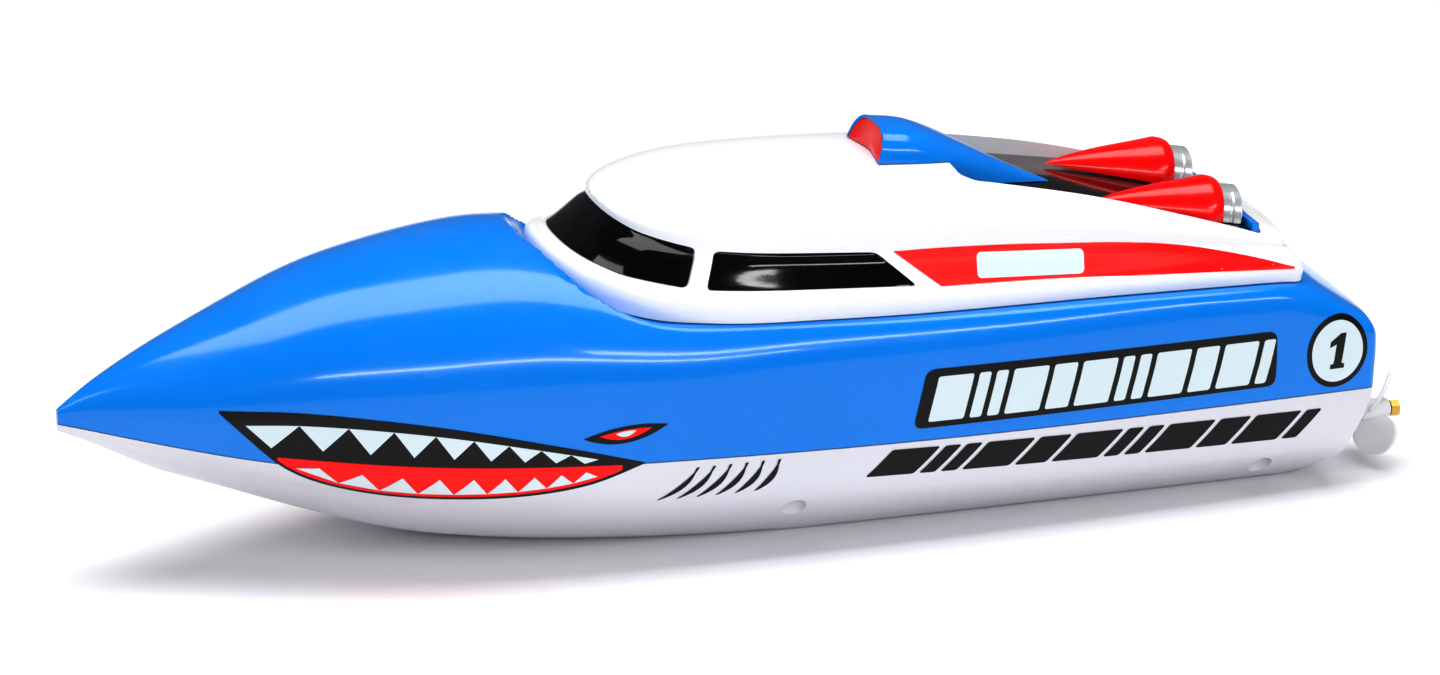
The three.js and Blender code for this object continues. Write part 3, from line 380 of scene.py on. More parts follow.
# ---------------------------------------------------------------- finishes
class Make(Enum):
    """How a surface was made, which decides its fine texture."""

    GLOSS_MOULDING = "gloss"
    SATIN_MOULDING = "satin"
    PLATED = "plated"
    TURNED_METAL = "turned"
    RUBBER = "rubber"
    PRINT = "print"
    BOARD = "board"


def linear(colour: Colour) -> tuple[float, float, float, float]:
    """A display colour as the renderer's linear one."""
    parts = [c / 12.92 if c <= 0.04045 else ((c + 0.055) / 1.055) ** 2.4 for c in colour]
    return (*parts, 1.0)


@dataclass(frozen=True)
class Finish:
    """One finish of the boat: its colour, gloss and wear."""

    name: str
    slot: str
    colour: Colour
    make: Make
    roughness: float
    coat: float = 0.0
    metallic: float = 0.0
    tone: float = 0.06
    dust: float = 0.04
    shine: float = 0.32
    wear: float = 0.15


HULL_WHITE = Finish("hull_white", "hull_white", (0.87, 0.865, 0.89), Make.GLOSS_MOULDING, 0.3, coat=0.2,
    tone=0.02)
DECK_BLUE = Finish("deck_blue", "deck_blue", (0.0, 0.525, 0.89), Make.GLOSS_MOULDING, 0.16, coat=0.25,
    tone=0.02, dust=0.02)
COVER_WHITE = Finish("cover_white", "cover_white", (0.95, 0.95, 0.96), Make.GLOSS_MOULDING, 0.24, coat=0.3,
    tone=0.015)
WINDOW_BLACK = Finish("window_black", "window_black", (0.012, 0.012, 0.016), Make.GLOSS_MOULDING, 0.06,
    tone=0.02, dust=0.02)
RED = Finish("red_plastic", "red_plastic", (0.95, 0.0, 0.01), Make.GLOSS_MOULDING, 0.2, coat=0.2, tone=0.02,
    dust=0.02)
NOZZLE_SILVER = Finish("nozzle_silver", "nozzle_silver", (0.86, 0.87, 0.88), Make.PLATED, 0.2, metallic=0.6)
WHITE_FITTING = Finish("white_fitting", "white_fitting", (0.9, 0.9, 0.9), Make.SATIN_MOULDING, 0.4)
BLACK_PLASTIC = Finish("black_plastic", "black_plastic", (0.085, 0.085, 0.09), Make.SATIN_MOULDING, 0.46,
    wear=0.4)
STEEL = Finish("steel", "steel", (0.72, 0.73, 0.75), Make.TURNED_METAL, 0.28, metallic=1.0, wear=0.4)
MOTOR_STEEL = Finish("motor_steel", "motor_steel", (0.76, 0.77, 0.78), Make.TURNED_METAL, 0.33, metallic=1.0)
BRASS = Finish("brass", "brass", (0.83, 0.68, 0.36), Make.TURNED_METAL, 0.26, metallic=1.0, wear=0.4)
RUBBER = Finish("seal_rubber", "seal_rubber", (0.1, 0.1, 0.105), Make.RUBBER, 0.78, dust=0.12)
BOARD_GREEN = Finish("board_green", "board_green", (0.05, 0.34, 0.2), Make.BOARD, 0.42, coat=0.3)
BATTERY_WRAP = Finish("battery_wrap", "battery_wrap", (0.1, 0.36, 0.66), Make.GLOSS_MOULDING, 0.3, coat=0.4)
WIRE_RED = Finish("wire_red", "wire_red", (0.74, 0.06, 0.06), Make.RUBBER, 0.45)
WIRE_BLACK = Finish("wire_black", "wire_black", (0.07, 0.07, 0.075), Make.RUBBER, 0.45)
PRINT_BLACK = Finish("print_black", "window_black", (0.02, 0.018, 0.02), Make.PRINT, 0.35, tone=0.02,
    dust=0.02)
PRINT_RED = Finish("print_red", "red_plastic", (0.97, 0.0, 0.01), Make.PRINT, 0.35, tone=0.02, dust=0.02)
PRINT_PALE = Finish("print_pale", "cover_white", (0.85, 0.9, 0.92), Make.PRINT, 0.35, tone=0.02, dust=0.02)
FINISHES = (
    HULL_WHITE, DECK_BLUE, COVER_WHITE, WINDOW_BLACK, RED, NOZZLE_SILVER, WHITE_FITTING, BLACK_PLASTIC, STEEL,
    MOTOR_STEEL, BRASS, RUBBER, BOARD_GREEN, BATTERY_WRAP, WIRE_RED, WIRE_BLACK,
)


class NodeSheet:
    """Lays shader nodes in a tree and links them."""

    def __init__(self, tree: bpy.types.NodeTree) -> None:
        """Keeps the tree that nodes are laid in."""
        self.tree = tree

    def add(self, kind: str, inputs: dict | None = None, **settings: object) -> bpy.types.Node:
        """Lays one node.

        Args:
            kind: the node's type.
            inputs: values, or sockets to link from, by input name or place.
            settings: the node's own options.

        Returns:
            The new node.
        """
        node = self.tree.nodes.new(kind)
        for name, value in settings.items():
            setattr(node, name, value)
        for key, value in (inputs or {}).items():
            socket = node.inputs[key]
            if isinstance(value, bpy.types.NodeSocket):
                self.tree.links.new(value, socket)
            else:
                socket.default_value = value
        return node

    def math(self, how: str, a: object, b: object = 0.0, hold: bool = False) -> bpy.types.NodeSocket:
        """One sum on two values."""
        return self.add("ShaderNodeMath", {0: a, 1: b}, operation=how, use_clamp=hold).outputs[0]

    def blend(self, share: object, a: object, b: object) -> bpy.types.NodeSocket:
        """A mix of two colours."""
        node = self.add("ShaderNodeMix", {0: share, 6: a, 7: b}, data_type="RGBA")
        return node.outputs[2]

    def noise(
        self, vector: object, scale: object, detail: float = 3.0, rough: float = 0.55,
    ) -> bpy.types.NodeSocket:
        """Plain noise, from 0 to 1."""
        node = self.add("ShaderNodeTexNoise",
            {"Vector": vector, "Scale": scale, "Detail": detail, "Roughness": rough})
        return node.outputs["Fac"]

    def ramp(self, value: object, low: float, high: float) -> bpy.types.NodeSocket:
        """A value stretched so that low becomes 0 and high becomes 1."""
        node = self.add(
            "ShaderNodeMapRange", {"Value": value, "From Min": low, "From Max": high}, clamp=True)
        return node.outputs["Result"]


class Effect:
    """A shared surface effect, kept as a node group with named inputs and outputs."""

    def __init__(self, name: str, inputs: dict[str, tuple[str, object]], outputs: dict[str, str]) -> None:
        """Makes the group and its sockets.

        Args:
            name: the group's name.
            inputs: socket type and starting value by name.
            outputs: socket type by name.
        """
        self.tree = bpy.data.node_groups.new(name, "ShaderNodeTree")
        for key, (kind, value) in inputs.items():
            socket = self.tree.interface.new_socket(key, in_out="INPUT", socket_type=kind)
            if value is not None:
                socket.default_value = value
        for key, kind in outputs.items():
            self.tree.interface.new_socket(key, in_out="OUTPUT", socket_type=kind)
        self.sheet = NodeSheet(self.tree)
        self.given = self.sheet.add("NodeGroupInput").outputs
        self.result = self.sheet.add("NodeGroupOutput").inputs

    def give(self, name: str, socket: bpy.types.NodeSocket) -> None:
        """Sends a socket out of the group."""
        self.tree.links.new(socket, self.result[name])

    def use(self, sheet: NodeSheet, inputs: dict) -> bpy.types.Node:
        """Places the group in a material."""
        node = sheet.add("ShaderNodeGroup")
        node.node_tree = self.tree
        for key, value in inputs.items():
            if isinstance(value, bpy.types.NodeSocket):
                sheet.tree.links.new(value, node.inputs[key])
            else:
                node.inputs[key].default_value = value
        return node


FLOAT, VECTOR, COLOUR = "NodeSocketFloat", "NodeSocketVector", "NodeSocketColor"


class PaintShop:
    """Makes each finish's material once, out of shared effects."""

    def __init__(self) -> None:
        """Builds the shared effects."""
        self.materials: dict[str, bpy.types.Material] = {}
        self.tone = self._tone()
        self.handling = self._handling()
        self.grain = self._grain()
        self.dust = self._dust()
        self.edges = self._edges()

    @staticmethod
    def _tone() -> Effect:
        """Slow changes of colour where the plastic flowed."""
        made = Effect(
            "moulding_tone",
            {"Vector": (VECTOR, None), "Base": (COLOUR, None), "Amount": (FLOAT, 0.06),
             "Scale": (FLOAT, 18.0)},
            {"Color": COLOUR})
        s, g = made.sheet, made.given
        flow = s.noise(g["Vector"], g["Scale"], 2.0, 0.45)
        fine = s.noise(g["Vector"], s.math("MULTIPLY", g["Scale"], 14.0), 3.0)
        mixed = s.math("ADD", s.math("MULTIPLY", flow, 0.75), s.math("MULTIPLY", fine, 0.25))
        share = s.math("MULTIPLY", s.ramp(mixed, 0.35, 0.68), g["Amount"])
        darker = s.add(
            "ShaderNodeMix", {0: 1.0, 6: g["Base"], 7: (0.55, 0.6, 0.66, 1)},
            data_type="RGBA", blend_type="MULTIPLY")
        made.give("Color", s.blend(share, g["Base"], darker.outputs[2]))
        return made

    @staticmethod
    def _handling() -> Effect:
        """Hairline scratches and finger marks, as changes of roughness."""
        made = Effect(
            "handling_marks",
            {"Vector": (VECTOR, None), "Roughness": (FLOAT, 0.25), "Amount": (FLOAT, 0.5)},
            {"Roughness": FLOAT, "Scratches": FLOAT})
        s, g = made.sheet, made.given
        lines = None
        for turn, length in ((0.5, 9.0), (-0.9, 13.0)):
            turned = s.add("ShaderNodeMapping", {
                "Vector": g["Vector"], "Rotation": (turn * 0.6, turn, turn), "Scale": (length, 420.0, 420.0)})
            streak = s.ramp(s.noise(turned.outputs[0], 1.0, 2.0, 0.5), 0.66, 0.74)
            lines = streak if lines is None else s.math("MAXIMUM", lines, streak)
        smudge = s.ramp(s.noise(g["Vector"], 42.0, 4.0, 0.6), 0.45, 0.75)
        both = s.math("ADD", s.math("MULTIPLY", lines, 0.16), s.math("MULTIPLY", smudge, 0.09))
        made.give("Roughness", s.math("ADD", g["Roughness"], s.math("MULTIPLY", both, g["Amount"]), True))
        made.give("Scratches", s.math("MULTIPLY", lines, g["Amount"]))
        return made

    @staticmethod
    def _grain() -> Effect:
        """The fine relief of a moulded or turned surface, as a height."""
        made = Effect(
            "surface_grain",
            {"Vector": (VECTOR, None), "Scale": (FLOAT, 900.0), "Waviness": (FLOAT, 0.4)},
            {"Height": FLOAT})
        s, g = made.sheet, made.given
        fine = s.noise(g["Vector"], g["Scale"], 2.0, 0.6)
        broad = s.noise(g["Vector"], 70.0, 1.0, 0.3)
        made.give("Height", s.math("ADD", fine, s.math("MULTIPLY", broad, g["Waviness"])))
        return made

    @staticmethod
    def _dust() -> Effect:
        """A thin film of dust on what faces up."""
        made = Effect(
            "dust_film",
            {"Vector": (VECTOR, None), "Color": (COLOUR, None), "Roughness": (FLOAT, 0.3),
             "Amount": (FLOAT, 0.1)},
            {"Color": COLOUR, "Roughness": FLOAT})
        s, g = made.sheet, made.given
        normal = s.add("ShaderNodeNewGeometry").outputs["Normal"]
        up = s.ramp(s.add("ShaderNodeSeparateXYZ", {0: normal}).outputs[2], 0.15, 0.95)
        patches = s.ramp(s.noise(g["Vector"], 55.0, 5.0, 0.65), 0.42, 0.72)
        mask = s.math("MULTIPLY", s.math("MULTIPLY", up, patches), g["Amount"])
        made.give("Color", s.blend(mask, g["Color"], (0.62, 0.6, 0.56, 1)))
        made.give("Roughness", s.math("ADD", g["Roughness"], s.math("MULTIPLY", mask, 0.5), True))
        return made

    @staticmethod
    def _edges() -> Effect:
        """Rubbed edges, as a mask of where a rounded normal leaves the true one."""
        made = Effect(
            "edge_wear",
            {"Vector": (VECTOR, None), "Radius": (FLOAT, 0.0006), "Amount": (FLOAT, 0.3)},
            {"Mask": FLOAT})
        s, g = made.sheet, made.given
        rounded = s.add("ShaderNodeBevel", {"Radius": g["Radius"]}, samples=4).outputs[0]
        normal = s.add("ShaderNodeNewGeometry").outputs["Normal"]
        match = s.add("ShaderNodeVectorMath", {0: rounded, 1: normal},
            operation="DOT_PRODUCT").outputs["Value"]
        edge = s.ramp(s.math("SUBTRACT", 1.0, match), 0.02, 0.2)
        broken = s.ramp(s.noise(g["Vector"], 260.0, 4.0, 0.7), 0.42, 0.62)
        made.give("Mask", s.math("MULTIPLY", s.math("MULTIPLY", edge, broken), g["Amount"]))
        return made

    def material(self, finish: Finish) -> bpy.types.Material:
        """The material of a finish, made the first time it is asked for.

        Args:
            finish: the finish.

        Returns:
            Its material.
        """
        if finish.name in self.materials:
            return self.materials[finish.name]
        made = bpy.data.materials.new(finish.name)
        made.use_nodes = True
        made.diffuse_color = linear(finish.colour)
        tree = made.node_tree
        tree.nodes.clear()
        s = NodeSheet(tree)
        where = s.add("ShaderNodeTexCoord").outputs["Object"]
        shader = s.add("ShaderNodeBsdfPrincipled")
        out = s.add("ShaderNodeOutputMaterial", {"Surface": shader.outputs[0]})
        out.is_active_output = True
        base = linear(finish.colour)
        colour = self.tone.use(s, {"Vector": where, "Base": base, "Amount": finish.tone * 4}).outputs["Color"]
        marks = self.handling.use(s, {"Vector": where, "Roughness": finish.roughness, "Amount": 0.6})
        rough = marks.outputs["Roughness"]
        colour, rough = self._texture(finish, s, where, colour, rough)
        if finish.make not in (Make.PRINT, Make.GLOSS_MOULDING):
            mask = self.edges.use(s, {"Vector": where, "Amount": finish.wear}).outputs["Mask"]
            worn = tuple(min(1.0, c * 1.6 + 0.06) for c in base[:3]) + (1.0,)
            colour = s.blend(mask, colour, worn)
            rough = s.math("ADD", rough, s.math("MULTIPLY", mask, 0.15), True)
        film = self.dust.use(s, {"Vector": where, "Color": colour, "Roughness": rough, "Amount": finish.dust})
        tree.links.new(film.outputs["Color"], shader.inputs["Base Color"])
        tree.links.new(film.outputs["Roughness"], shader.inputs["Roughness"])
        self._relief(finish, s, where, shader)
        shader.inputs["Metallic"].default_value = finish.metallic
        shader.inputs["Coat Weight"].default_value = finish.coat
        shader.inputs["Coat Roughness"].default_value = 0.04
        shader.inputs["Specular IOR Level"].default_value = finish.shine
        shader.inputs["IOR"].default_value = 1.49 if finish.make is not Make.RUBBER else 1.45
        self.materials[finish.name] = made
        return made

    @staticmethod
    def _texture(
        finish: Finish, s: NodeSheet, where: bpy.types.NodeSocket, colour: bpy.types.NodeSocket,
        rough: bpy.types.NodeSocket,
    ) -> tuple[bpy.types.NodeSocket, bpy.types.NodeSocket]:
        """Adds what only one make of surface shows.

        Args:
            finish: the finish.
            s: the material's sheet.
            where: object coordinates.
            colour: the colour so far.
            rough: the roughness so far.

        Returns:
            The new colour and roughness.
        """
        if finish.make is Make.TURNED_METAL:
            rings = s.add(
                "ShaderNodeTexWave", {"Vector": where, "Scale": 520.0, "Distortion": 1.5, "Detail": 2.0},
                bands_direction="X").outputs["Fac"]
            rough = s.math("ADD", rough, s.math("MULTIPLY", rings, 0.14), True)
            stain = s.math("MULTIPLY", s.ramp(s.noise(where, 130.0, 5.0, 0.7), 0.5, 0.8), 0.35)
            colour = s.blend(stain, colour, (0.22, 0.19, 0.16, 1))
        if finish.make is Make.BOARD:
            bricks = {"Vector": where, "Scale": 170.0, "Mortar Size": 0.035}
            tracks = s.add("ShaderNodeTexBrick", bricks).outputs["Fac"]
            colour = s.blend(s.math("MULTIPLY", tracks, 0.55), colour, (0.12, 0.36, 0.16, 1))
            rough = s.math("ADD", rough, s.math("MULTIPLY", tracks, 0.1), True)
        if finish.make is Make.PRINT:
            dots = s.ramp(s.noise(where, 1500.0, 2.0, 0.5), 0.6, 0.72)
            rough = s.math("ADD", rough, s.math("MULTIPLY", dots, 0.12), True)
        return colour, rough

    def _relief(
        self, finish: Finish, s: NodeSheet, where: bpy.types.NodeSocket, shader: bpy.types.Node,
    ) -> None:
        """Gives a material its fine relief.

        Args:
            finish: the finish.
            s: the material's sheet.
            where: object coordinates.
            shader: the surface shader.
        """
        scale, waviness, depth = {
            Make.GLOSS_MOULDING: (700.0, 0.5, 0.008), Make.SATIN_MOULDING: (2300.0, 0.2, 0.16),
            Make.PLATED: (500.0, 1.0, 0.02), Make.TURNED_METAL: (1800.0, 0.1, 0.08),
            Make.RUBBER: (1600.0, 0.3, 0.22), Make.PRINT: (900.0, 0.6, 0.03), Make.BOARD: (1300.0, 0.2, 0.12),
        }[finish.make]
        height = self.grain.use(s, {"Vector": where, "Scale": scale, "Waviness": waviness}).outputs["Height"]
        bump = s.add("ShaderNodeBump", {"Height": height, "Strength": depth, "Distance": 0.0004})
        s.tree.links.new(bump.outputs[0], shader.inputs["Normal"])

    def dress(self, obj: bpy.types.Object, finish: Finish) -> bpy.types.Object:
        """Gives a new piece its finish."""
        obj.data.materials.clear()
        obj.data.materials.append(self.material(finish))
        return obj

    def repaint(self, node: bpy.types.Object, finish: Finish) -> None:
        """Gives a CAD node its finish through its material slots."""
        material = self.material(finish)
        if not node.material_slots:
            node.data.materials.append(material)
        for holder in node.material_slots:
            holder.material = material


def present(
    obj: bpy.types.Object, name: str, body: str, finish: Finish, shop: PaintShop, nodes: Iterable[str] = (),
    angle: float = 32,
) -> bpy.types.Object:
    """Finishes a piece: name, shading, finish, body and the CAD nodes it stands for.

    Args:
        obj: the piece.
        name: its name.
        body: the body it rides on.
        finish: its finish.
        shop: where materials come from.
        nodes: the CAD nodes it replaces.
        angle: the shading angle in degrees.

    Returns:
        The piece.
    """
    obj.name = name
    obj.data.name = name
    Bench.smooth(obj, angle)
    shop.dress(obj, finish)
    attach(obj, body)
    nodes = tuple(nodes)
    if nodes:
        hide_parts(*nodes)
    LOG.info("%s: %d faces, on %s", name, len(obj.data.polygons), body)
    return obj


# ---------------------------------------------------------------- hull form
HALF_BEAM = 45.0
SOFT = 0.011


def breadth(*pairs: Pair) -> Line:
    """A line of half-breadths, from shares of half the beam."""
    return Line(*pairs, soften=SOFT, scale=HALF_BEAM)


def height(*pairs: Pair) -> Line:
    """A line of heights."""
    return Line(*pairs, soften=SOFT)


@dataclass
class CoverPlan:
    """The cabin cover's outline in plan, and the heights of its lines."""

    length: float = 196.5
    width: float = 78.0
    rear: float = 19.0
    front: float = 60.0
    fullness: float = 2.5
    corner: float = 4.0
    nose_inset: float = 3.0
    taper: Line = field(default_factory=lambda: Line((0, 0.875), (0.29, 0.945), (0.5, 0.985), (0.69, 1),
        (1, 1)))
    seat_line: Line = field(default_factory=lambda: Line(
        (0, 56), (0.29, 58.2), (0.56, 59.7), (0.69, 61), (0.82, 62.3), (0.87, 62.9), (0.907, 63.9),
        (0.94, 65.1),
        (0.966, 66.8), (0.985, 69.4), (1, 72.4), soften=0.008))
    sill_line: Line = field(default_factory=lambda: Line(
        (0, 61.5), (0.29, 64), (0.544, 66.7), (0.83, 70.7), (0.856, 71.2), (0.91, 73.3), (0.95, 75.8),
        (0.98, 78.4),
        (1, 80), soften=0.008))
    eave_line: Line = field(default_factory=lambda: Line(
        (0, 63.5), (0.21, 69.5), (0.417, 73.5), (0.582, 75.4), (0.813, 79.6), (0.838, 80.3), (0.88, 82.4),
        (0.918, 84.9), (1, 88), soften=0.01))
    roof_line: Line = field(default_factory=lambda: Line(
        (0, 66), (0.05, 70.4), (0.16, 77), (0.273, 83), (0.366, 86.5), (0.454, 89.3), (0.55, 90.9),
        (0.66, 91.6),
        (0.76, 91.2), (0.835, 89.6), (0.881, 87.4), (0.918, 84.9), (1, 80), soften=0.014))

    def x_at(self, share: float) -> float:
        """A place along the cover, from a share of its length."""
        return self.rear + share * self.length

    def share(self, x: float) -> float:
        """The share of the cover's length at a place."""
        return (x - self.rear) / self.length

    @property
    def shoulder(self) -> float:
        """Where the rounded front begins."""
        return self.x_at(1) - self.front

    def half_width(self, x: float, inset: float = 0.0, nose: float = 0.0) -> float:
        """Half the cover's width at a place, 0 ahead of the nose."""
        width = self.width / 2 * self.taper(self.share(min(x, self.shoulder))) - inset
        if x <= self.shoulder:
            return width
        share = clamp((x - self.shoulder) / (self.x_at(1) - nose - self.shoulder))
        return width * (1 - share ** self.fullness) ** (1 / self.fullness)

    def outline(self, inset: float, nose: float | None = None, rear: float | None = None) -> list[Pair]:
        """The closed outline in plan.

        Args:
            inset: how far the sides are moved in.
            nose: the same for the nose.
            rear: the same for the rear.

        Returns:
            Pairs of x and y round the cover, from the nose to port.
        """
        nose_x = self.x_at(1) - (inset if nose is None else nose)
        half: list[Vector] = []
        for k in range(49):
            angle = k / 48 * math.pi / 2
            share = 2 / self.fullness
            x = self.shoulder + (nose_x - self.shoulder) * max(math.cos(angle), 0.0) ** share
            half.append(Vector((x, (self.half_width(self.shoulder, inset)) * math.sin(angle) ** share)))
        half[-1].x = self.shoulder
        front = spread(half, 44)
        rear_x = self.rear + (inset if rear is None else rear)
        turn = rear_x + self.corner
        side = [Vector((self.shoulder + (turn - self.shoulder) * k / 46,) * 2) for k in range(1, 47)]
        for point in side:
            point.y = self.half_width(point.x, inset)
        corner = []
        for k in range(1, 7):
            angle = k / 6 * math.pi / 2
            corner.append(Vector((
                turn - self.corner * math.sin(angle),
                self.half_width(turn, inset) - self.corner * (1 - math.cos(angle)))))
        across = [Vector((rear_x, corner[-1].y * (1 - k / 12))) for k in range(1, 13)]
        port = front + side + corner + across
        starboard = [Vector((p.x, -p.y)) for p in port[1:-1]]
        return [(p.x, p.y) for p in port + starboard[::-1]]

    def seat(self, x: float) -> float:
        """Height of the cover's foot."""
        return self.seat_line(self.share(x))

    def sill(self, x: float) -> float:
        """Height of the edge under the windows."""
        return self.sill_line(self.share(x))

    def eave(self, x: float) -> float:
        """Height of the roof's edge."""
        return self.eave_line(self.share(x))

    def roof(self, x: float, y: float, inset: float, nose: float) -> float:
        """Height of the roof over a point inside the eave."""
        eave = self.eave(x)
        rise = max(self.roof_line(self.share(x)) - eave, 0.0)
        share = min(abs(y) / max(self.half_width(x, inset, nose), 1.0), 1.0)
        return eave + rise * (1 - share ** 3) ** (1 / 3)


@dataclass
class HullForm:
    """The lines of the hull and deck, from the transom, 0, to the bow, 1."""

    length: float = 335.0
    wall: float = 1.8
    gap: float = 0.3
    plan: CoverPlan = field(default_factory=CoverPlan)
    moat_blend: float = 1.7
    transom: tuple[Pair, ...] = ((0, 26.4), (6, 11.5), (7, 6.6), (14, 2.6), (20, 0))
    crease_y: Line = field(default_factory=lambda: breadth(
        (0, 0.845), (0.12, 0.91), (0.3, 0.98), (0.45, 0.998), (0.58, 0.985), (0.68, 0.925), (0.76, 0.81),
        (0.84, 0.61), (0.9, 0.42), (0.95, 0.225), (0.985, 0.075), (1, 0.02)))
    crease_z: Line = field(default_factory=lambda: height(
        (0, 35.4), (0.2, 39.8), (0.42, 43.2), (0.55, 45.1), (0.71, 46.6), (0.84, 45.4), (0.9, 44.4),
        (1, 43.6)))
    parting_y: Line = field(default_factory=lambda: breadth(
        (0, 0.82), (0.12, 0.885), (0.3, 0.955), (0.45, 0.97), (0.58, 0.95), (0.68, 0.875), (0.76, 0.745),
        (0.84, 0.54), (0.9, 0.35), (0.95, 0.18), (0.985, 0.06), (1, 0.018)))
    parting_z: Line = field(default_factory=lambda: height(
        (0, 26.4), (0.42, 28.3), (0.58, 29.7), (0.76, 30.8), (0.83, 32), (0.88, 33.9), (0.94, 37.2), (1, 41)))
    chine_y: Line = field(default_factory=lambda: breadth(
        (0, 0.74), (0.12, 0.8), (0.3, 0.85), (0.45, 0.85), (0.58, 0.8), (0.68, 0.68), (0.76, 0.53),
        (0.84, 0.35), (0.9, 0.21), (0.95, 0.1), (0.985, 0.035), (1, 0.014)))
    chine_z: Line = field(default_factory=lambda: height(
        (0, 10), (0.11, 10.9), (0.3, 12.3), (0.55, 15), (0.68, 17.5), (0.76, 20), (0.84, 24.5), (0.9, 29),
        (0.95, 34), (1, 40.2)))
    bottom_y: Line = field(default_factory=lambda: breadth(
        (0, 0.495), (0.35, 0.495), (0.47, 0.47), (0.58, 0.4), (0.66, 0.31), (0.72, 0.22), (0.76, 0.16),
        (0.82, 0.08), (0.9, 0.04), (0.95, 0.026), (1, 0.008)))
    bottom_z: Line = field(default_factory=lambda: height(
        (0, 0), (0.4, 0), (0.44, 0), (0.54, 0.8), (0.62, 2), (0.68, 3.4), (0.74, 5.8), (0.78, 9),
        (0.82, 13.4), (0.89, 22.4), (0.93, 27.4), (0.97, 34.6), (1, 39.4)))
    keel_z: Line = field(default_factory=lambda: height(
        (0, 0), (0.4, 0), (0.48, 0), (0.56, 0.2), (0.64, 0.9), (0.7, 2.2), (0.74, 4.2), (0.78, 7.6),
        (0.82, 12.2), (0.89, 21.6), (0.93, 26.8), (0.97, 34.2), (1, 39)))
    crown_z: Line = field(default_factory=lambda: height(
        (0, 44.7), (0.03, 51.6), (0.06, 58), (0.12, 61), (0.3, 64.5), (0.45, 68.5), (0.54, 72.5),
        (0.6, 77), (0.65, 80.6), (0.68, 81.3), (0.75, 78.9), (0.815, 74.4), (0.88, 65.8), (0.946, 55.9),
        (0.985, 48.5), (1, 44.6)))
    fullness: Line = field(default_factory=lambda: height(
        (0, 6), (0.08, 5.6), (0.3, 4), (0.45, 3.2), (0.55, 2.5), (0.65, 2.2), (0.8, 2.05), (0.9, 2), (1, 2)))

    def __post_init__(self) -> None:
        """Lays points along the cover's foot, to measure the dish round it."""
        outline = self.plan.outline(0, self.plan.nose_inset, 0)
        rim = []
        for (x0, y0), (x1, y1) in zip(outline, outline[1:] + outline[:1]):
            rim += [(x0 + (x1 - x0) * k / 8, y0 + (y1 - y0) * k / 8) for k in range(8)]
        self.rim = KDTree(len(rim))
        for i, (x, y) in enumerate(rim):
            self.rim.insert((x, y, 0), i)
        self.rim.balance()

    def beside_cover(self, x: float, y: float) -> float:
        """How far a point in plan lies outside the cover's foot, less than 0 inside it."""
        distance = self.rim.find((x, y, 0))[2]
        nose = self.plan.x_at(1) - self.plan.nose_inset
        inside = self.plan.rear < x < nose and abs(y) < self.plan.half_width(x, 0, self.plan.nose_inset)
        return -distance if inside else distance

    def dish(self, x: float, y: float, wall: float) -> float:
        """Height of the dished seat round the cover."""
        out = self.beside_cover(x, y) - wall
        ahead = clamp((x - self.plan.shoulder) / (self.plan.front - self.plan.nose_inset))
        out *= 1 + 0.8 * ahead ** 4
        return self.plan.seat(x) + 2.4 * ahead ** 6 + 0.055 * max(out - 0.6, 0.0) ** 2 - wall

    def section(self, t: float, inset: float = 0.0) -> list[Vector]:
        """The port half of a cross-section, from the keel up to the crown.

        Args:
            t: the share of the length.
            inset: how far it is moved in all round.

        Returns:
            Points of (y, z), as many at every t.
        """
        keel = Vector((0, self.keel_z(t)))
        bottom = Vector((self.bottom_y(t), self.bottom_z(t)))
        chine = Vector((self.chine_y(t), self.chine_z(t)))
        part = Vector((self.parting_y(t), self.parting_z(t)))
        crease = Vector((self.crease_y(t), self.crease_z(t)))
        bulge = 0.012 * part.x
        points = [keel.lerp(bottom, k / 9) for k in range(9)]
        for start, end, swell, steps in ((bottom, chine, 1, 9), (chine, part, 2, 9), (part, crease, 0, 6)):
            out = Vector((swell * bulge, -bulge)) if swell else Vector((0, 0))
            for k in range(steps):
                s = k / steps
                points.append(start.lerp(end, s) + out * 4 * s * (1 - s))
        full, crown = self.fullness(t), self.crown_z(t)
        arch = []
        for k in range(121):
            angle = k / 120 * math.pi / 2
            across = max(math.cos(angle), 0.0) ** (2 / full)
            lift = math.sin(angle) ** (2 / full)
            arch.append(Vector((crease.x * across, crease.y + (crown - crease.y) * lift)))
        arch[-1].x = 0
        points += spread(arch, 46)
        if not inset:
            return points
        moved = []
        for i, p in enumerate(points):
            if i in (0, len(points) - 1):
                moved.append(p + Vector((0, inset if i == 0 else -inset)))
                continue
            along = (points[i + 1] - points[i - 1]).normalized()
            moved.append(Vector((max(p.x - inset * along.y, 0.05), p.y + inset * along.x)))
        return moved

    def ring(self, x: float, wall: float, inset: float, low: float = 0.0) -> list[Vector]:
        """A whole cross-section in the frame, dished round the cover and cut under the stern.

        Args:
            x: its place along the boat.
            wall: 0 for the outer skin, or the wall for the inner one.
            inset: how far it is moved in all round.
            low: the least height it has.

        Returns:
            Points round the section, from the keel to port.
        """
        half = self.section(x / self.length, inset)
        shaped = []
        for y, z in half:
            if z > 50:
                z = soft_min(z, self.dish(x, y, wall), self.moat_blend)
            shaped.append((y, max(z, low)))
        port = [place(x, y, z) for y, z in shaped]
        starboard = [place(x, -y, z) for y, z in shaped[1:-1]]
        return port + starboard[::-1]

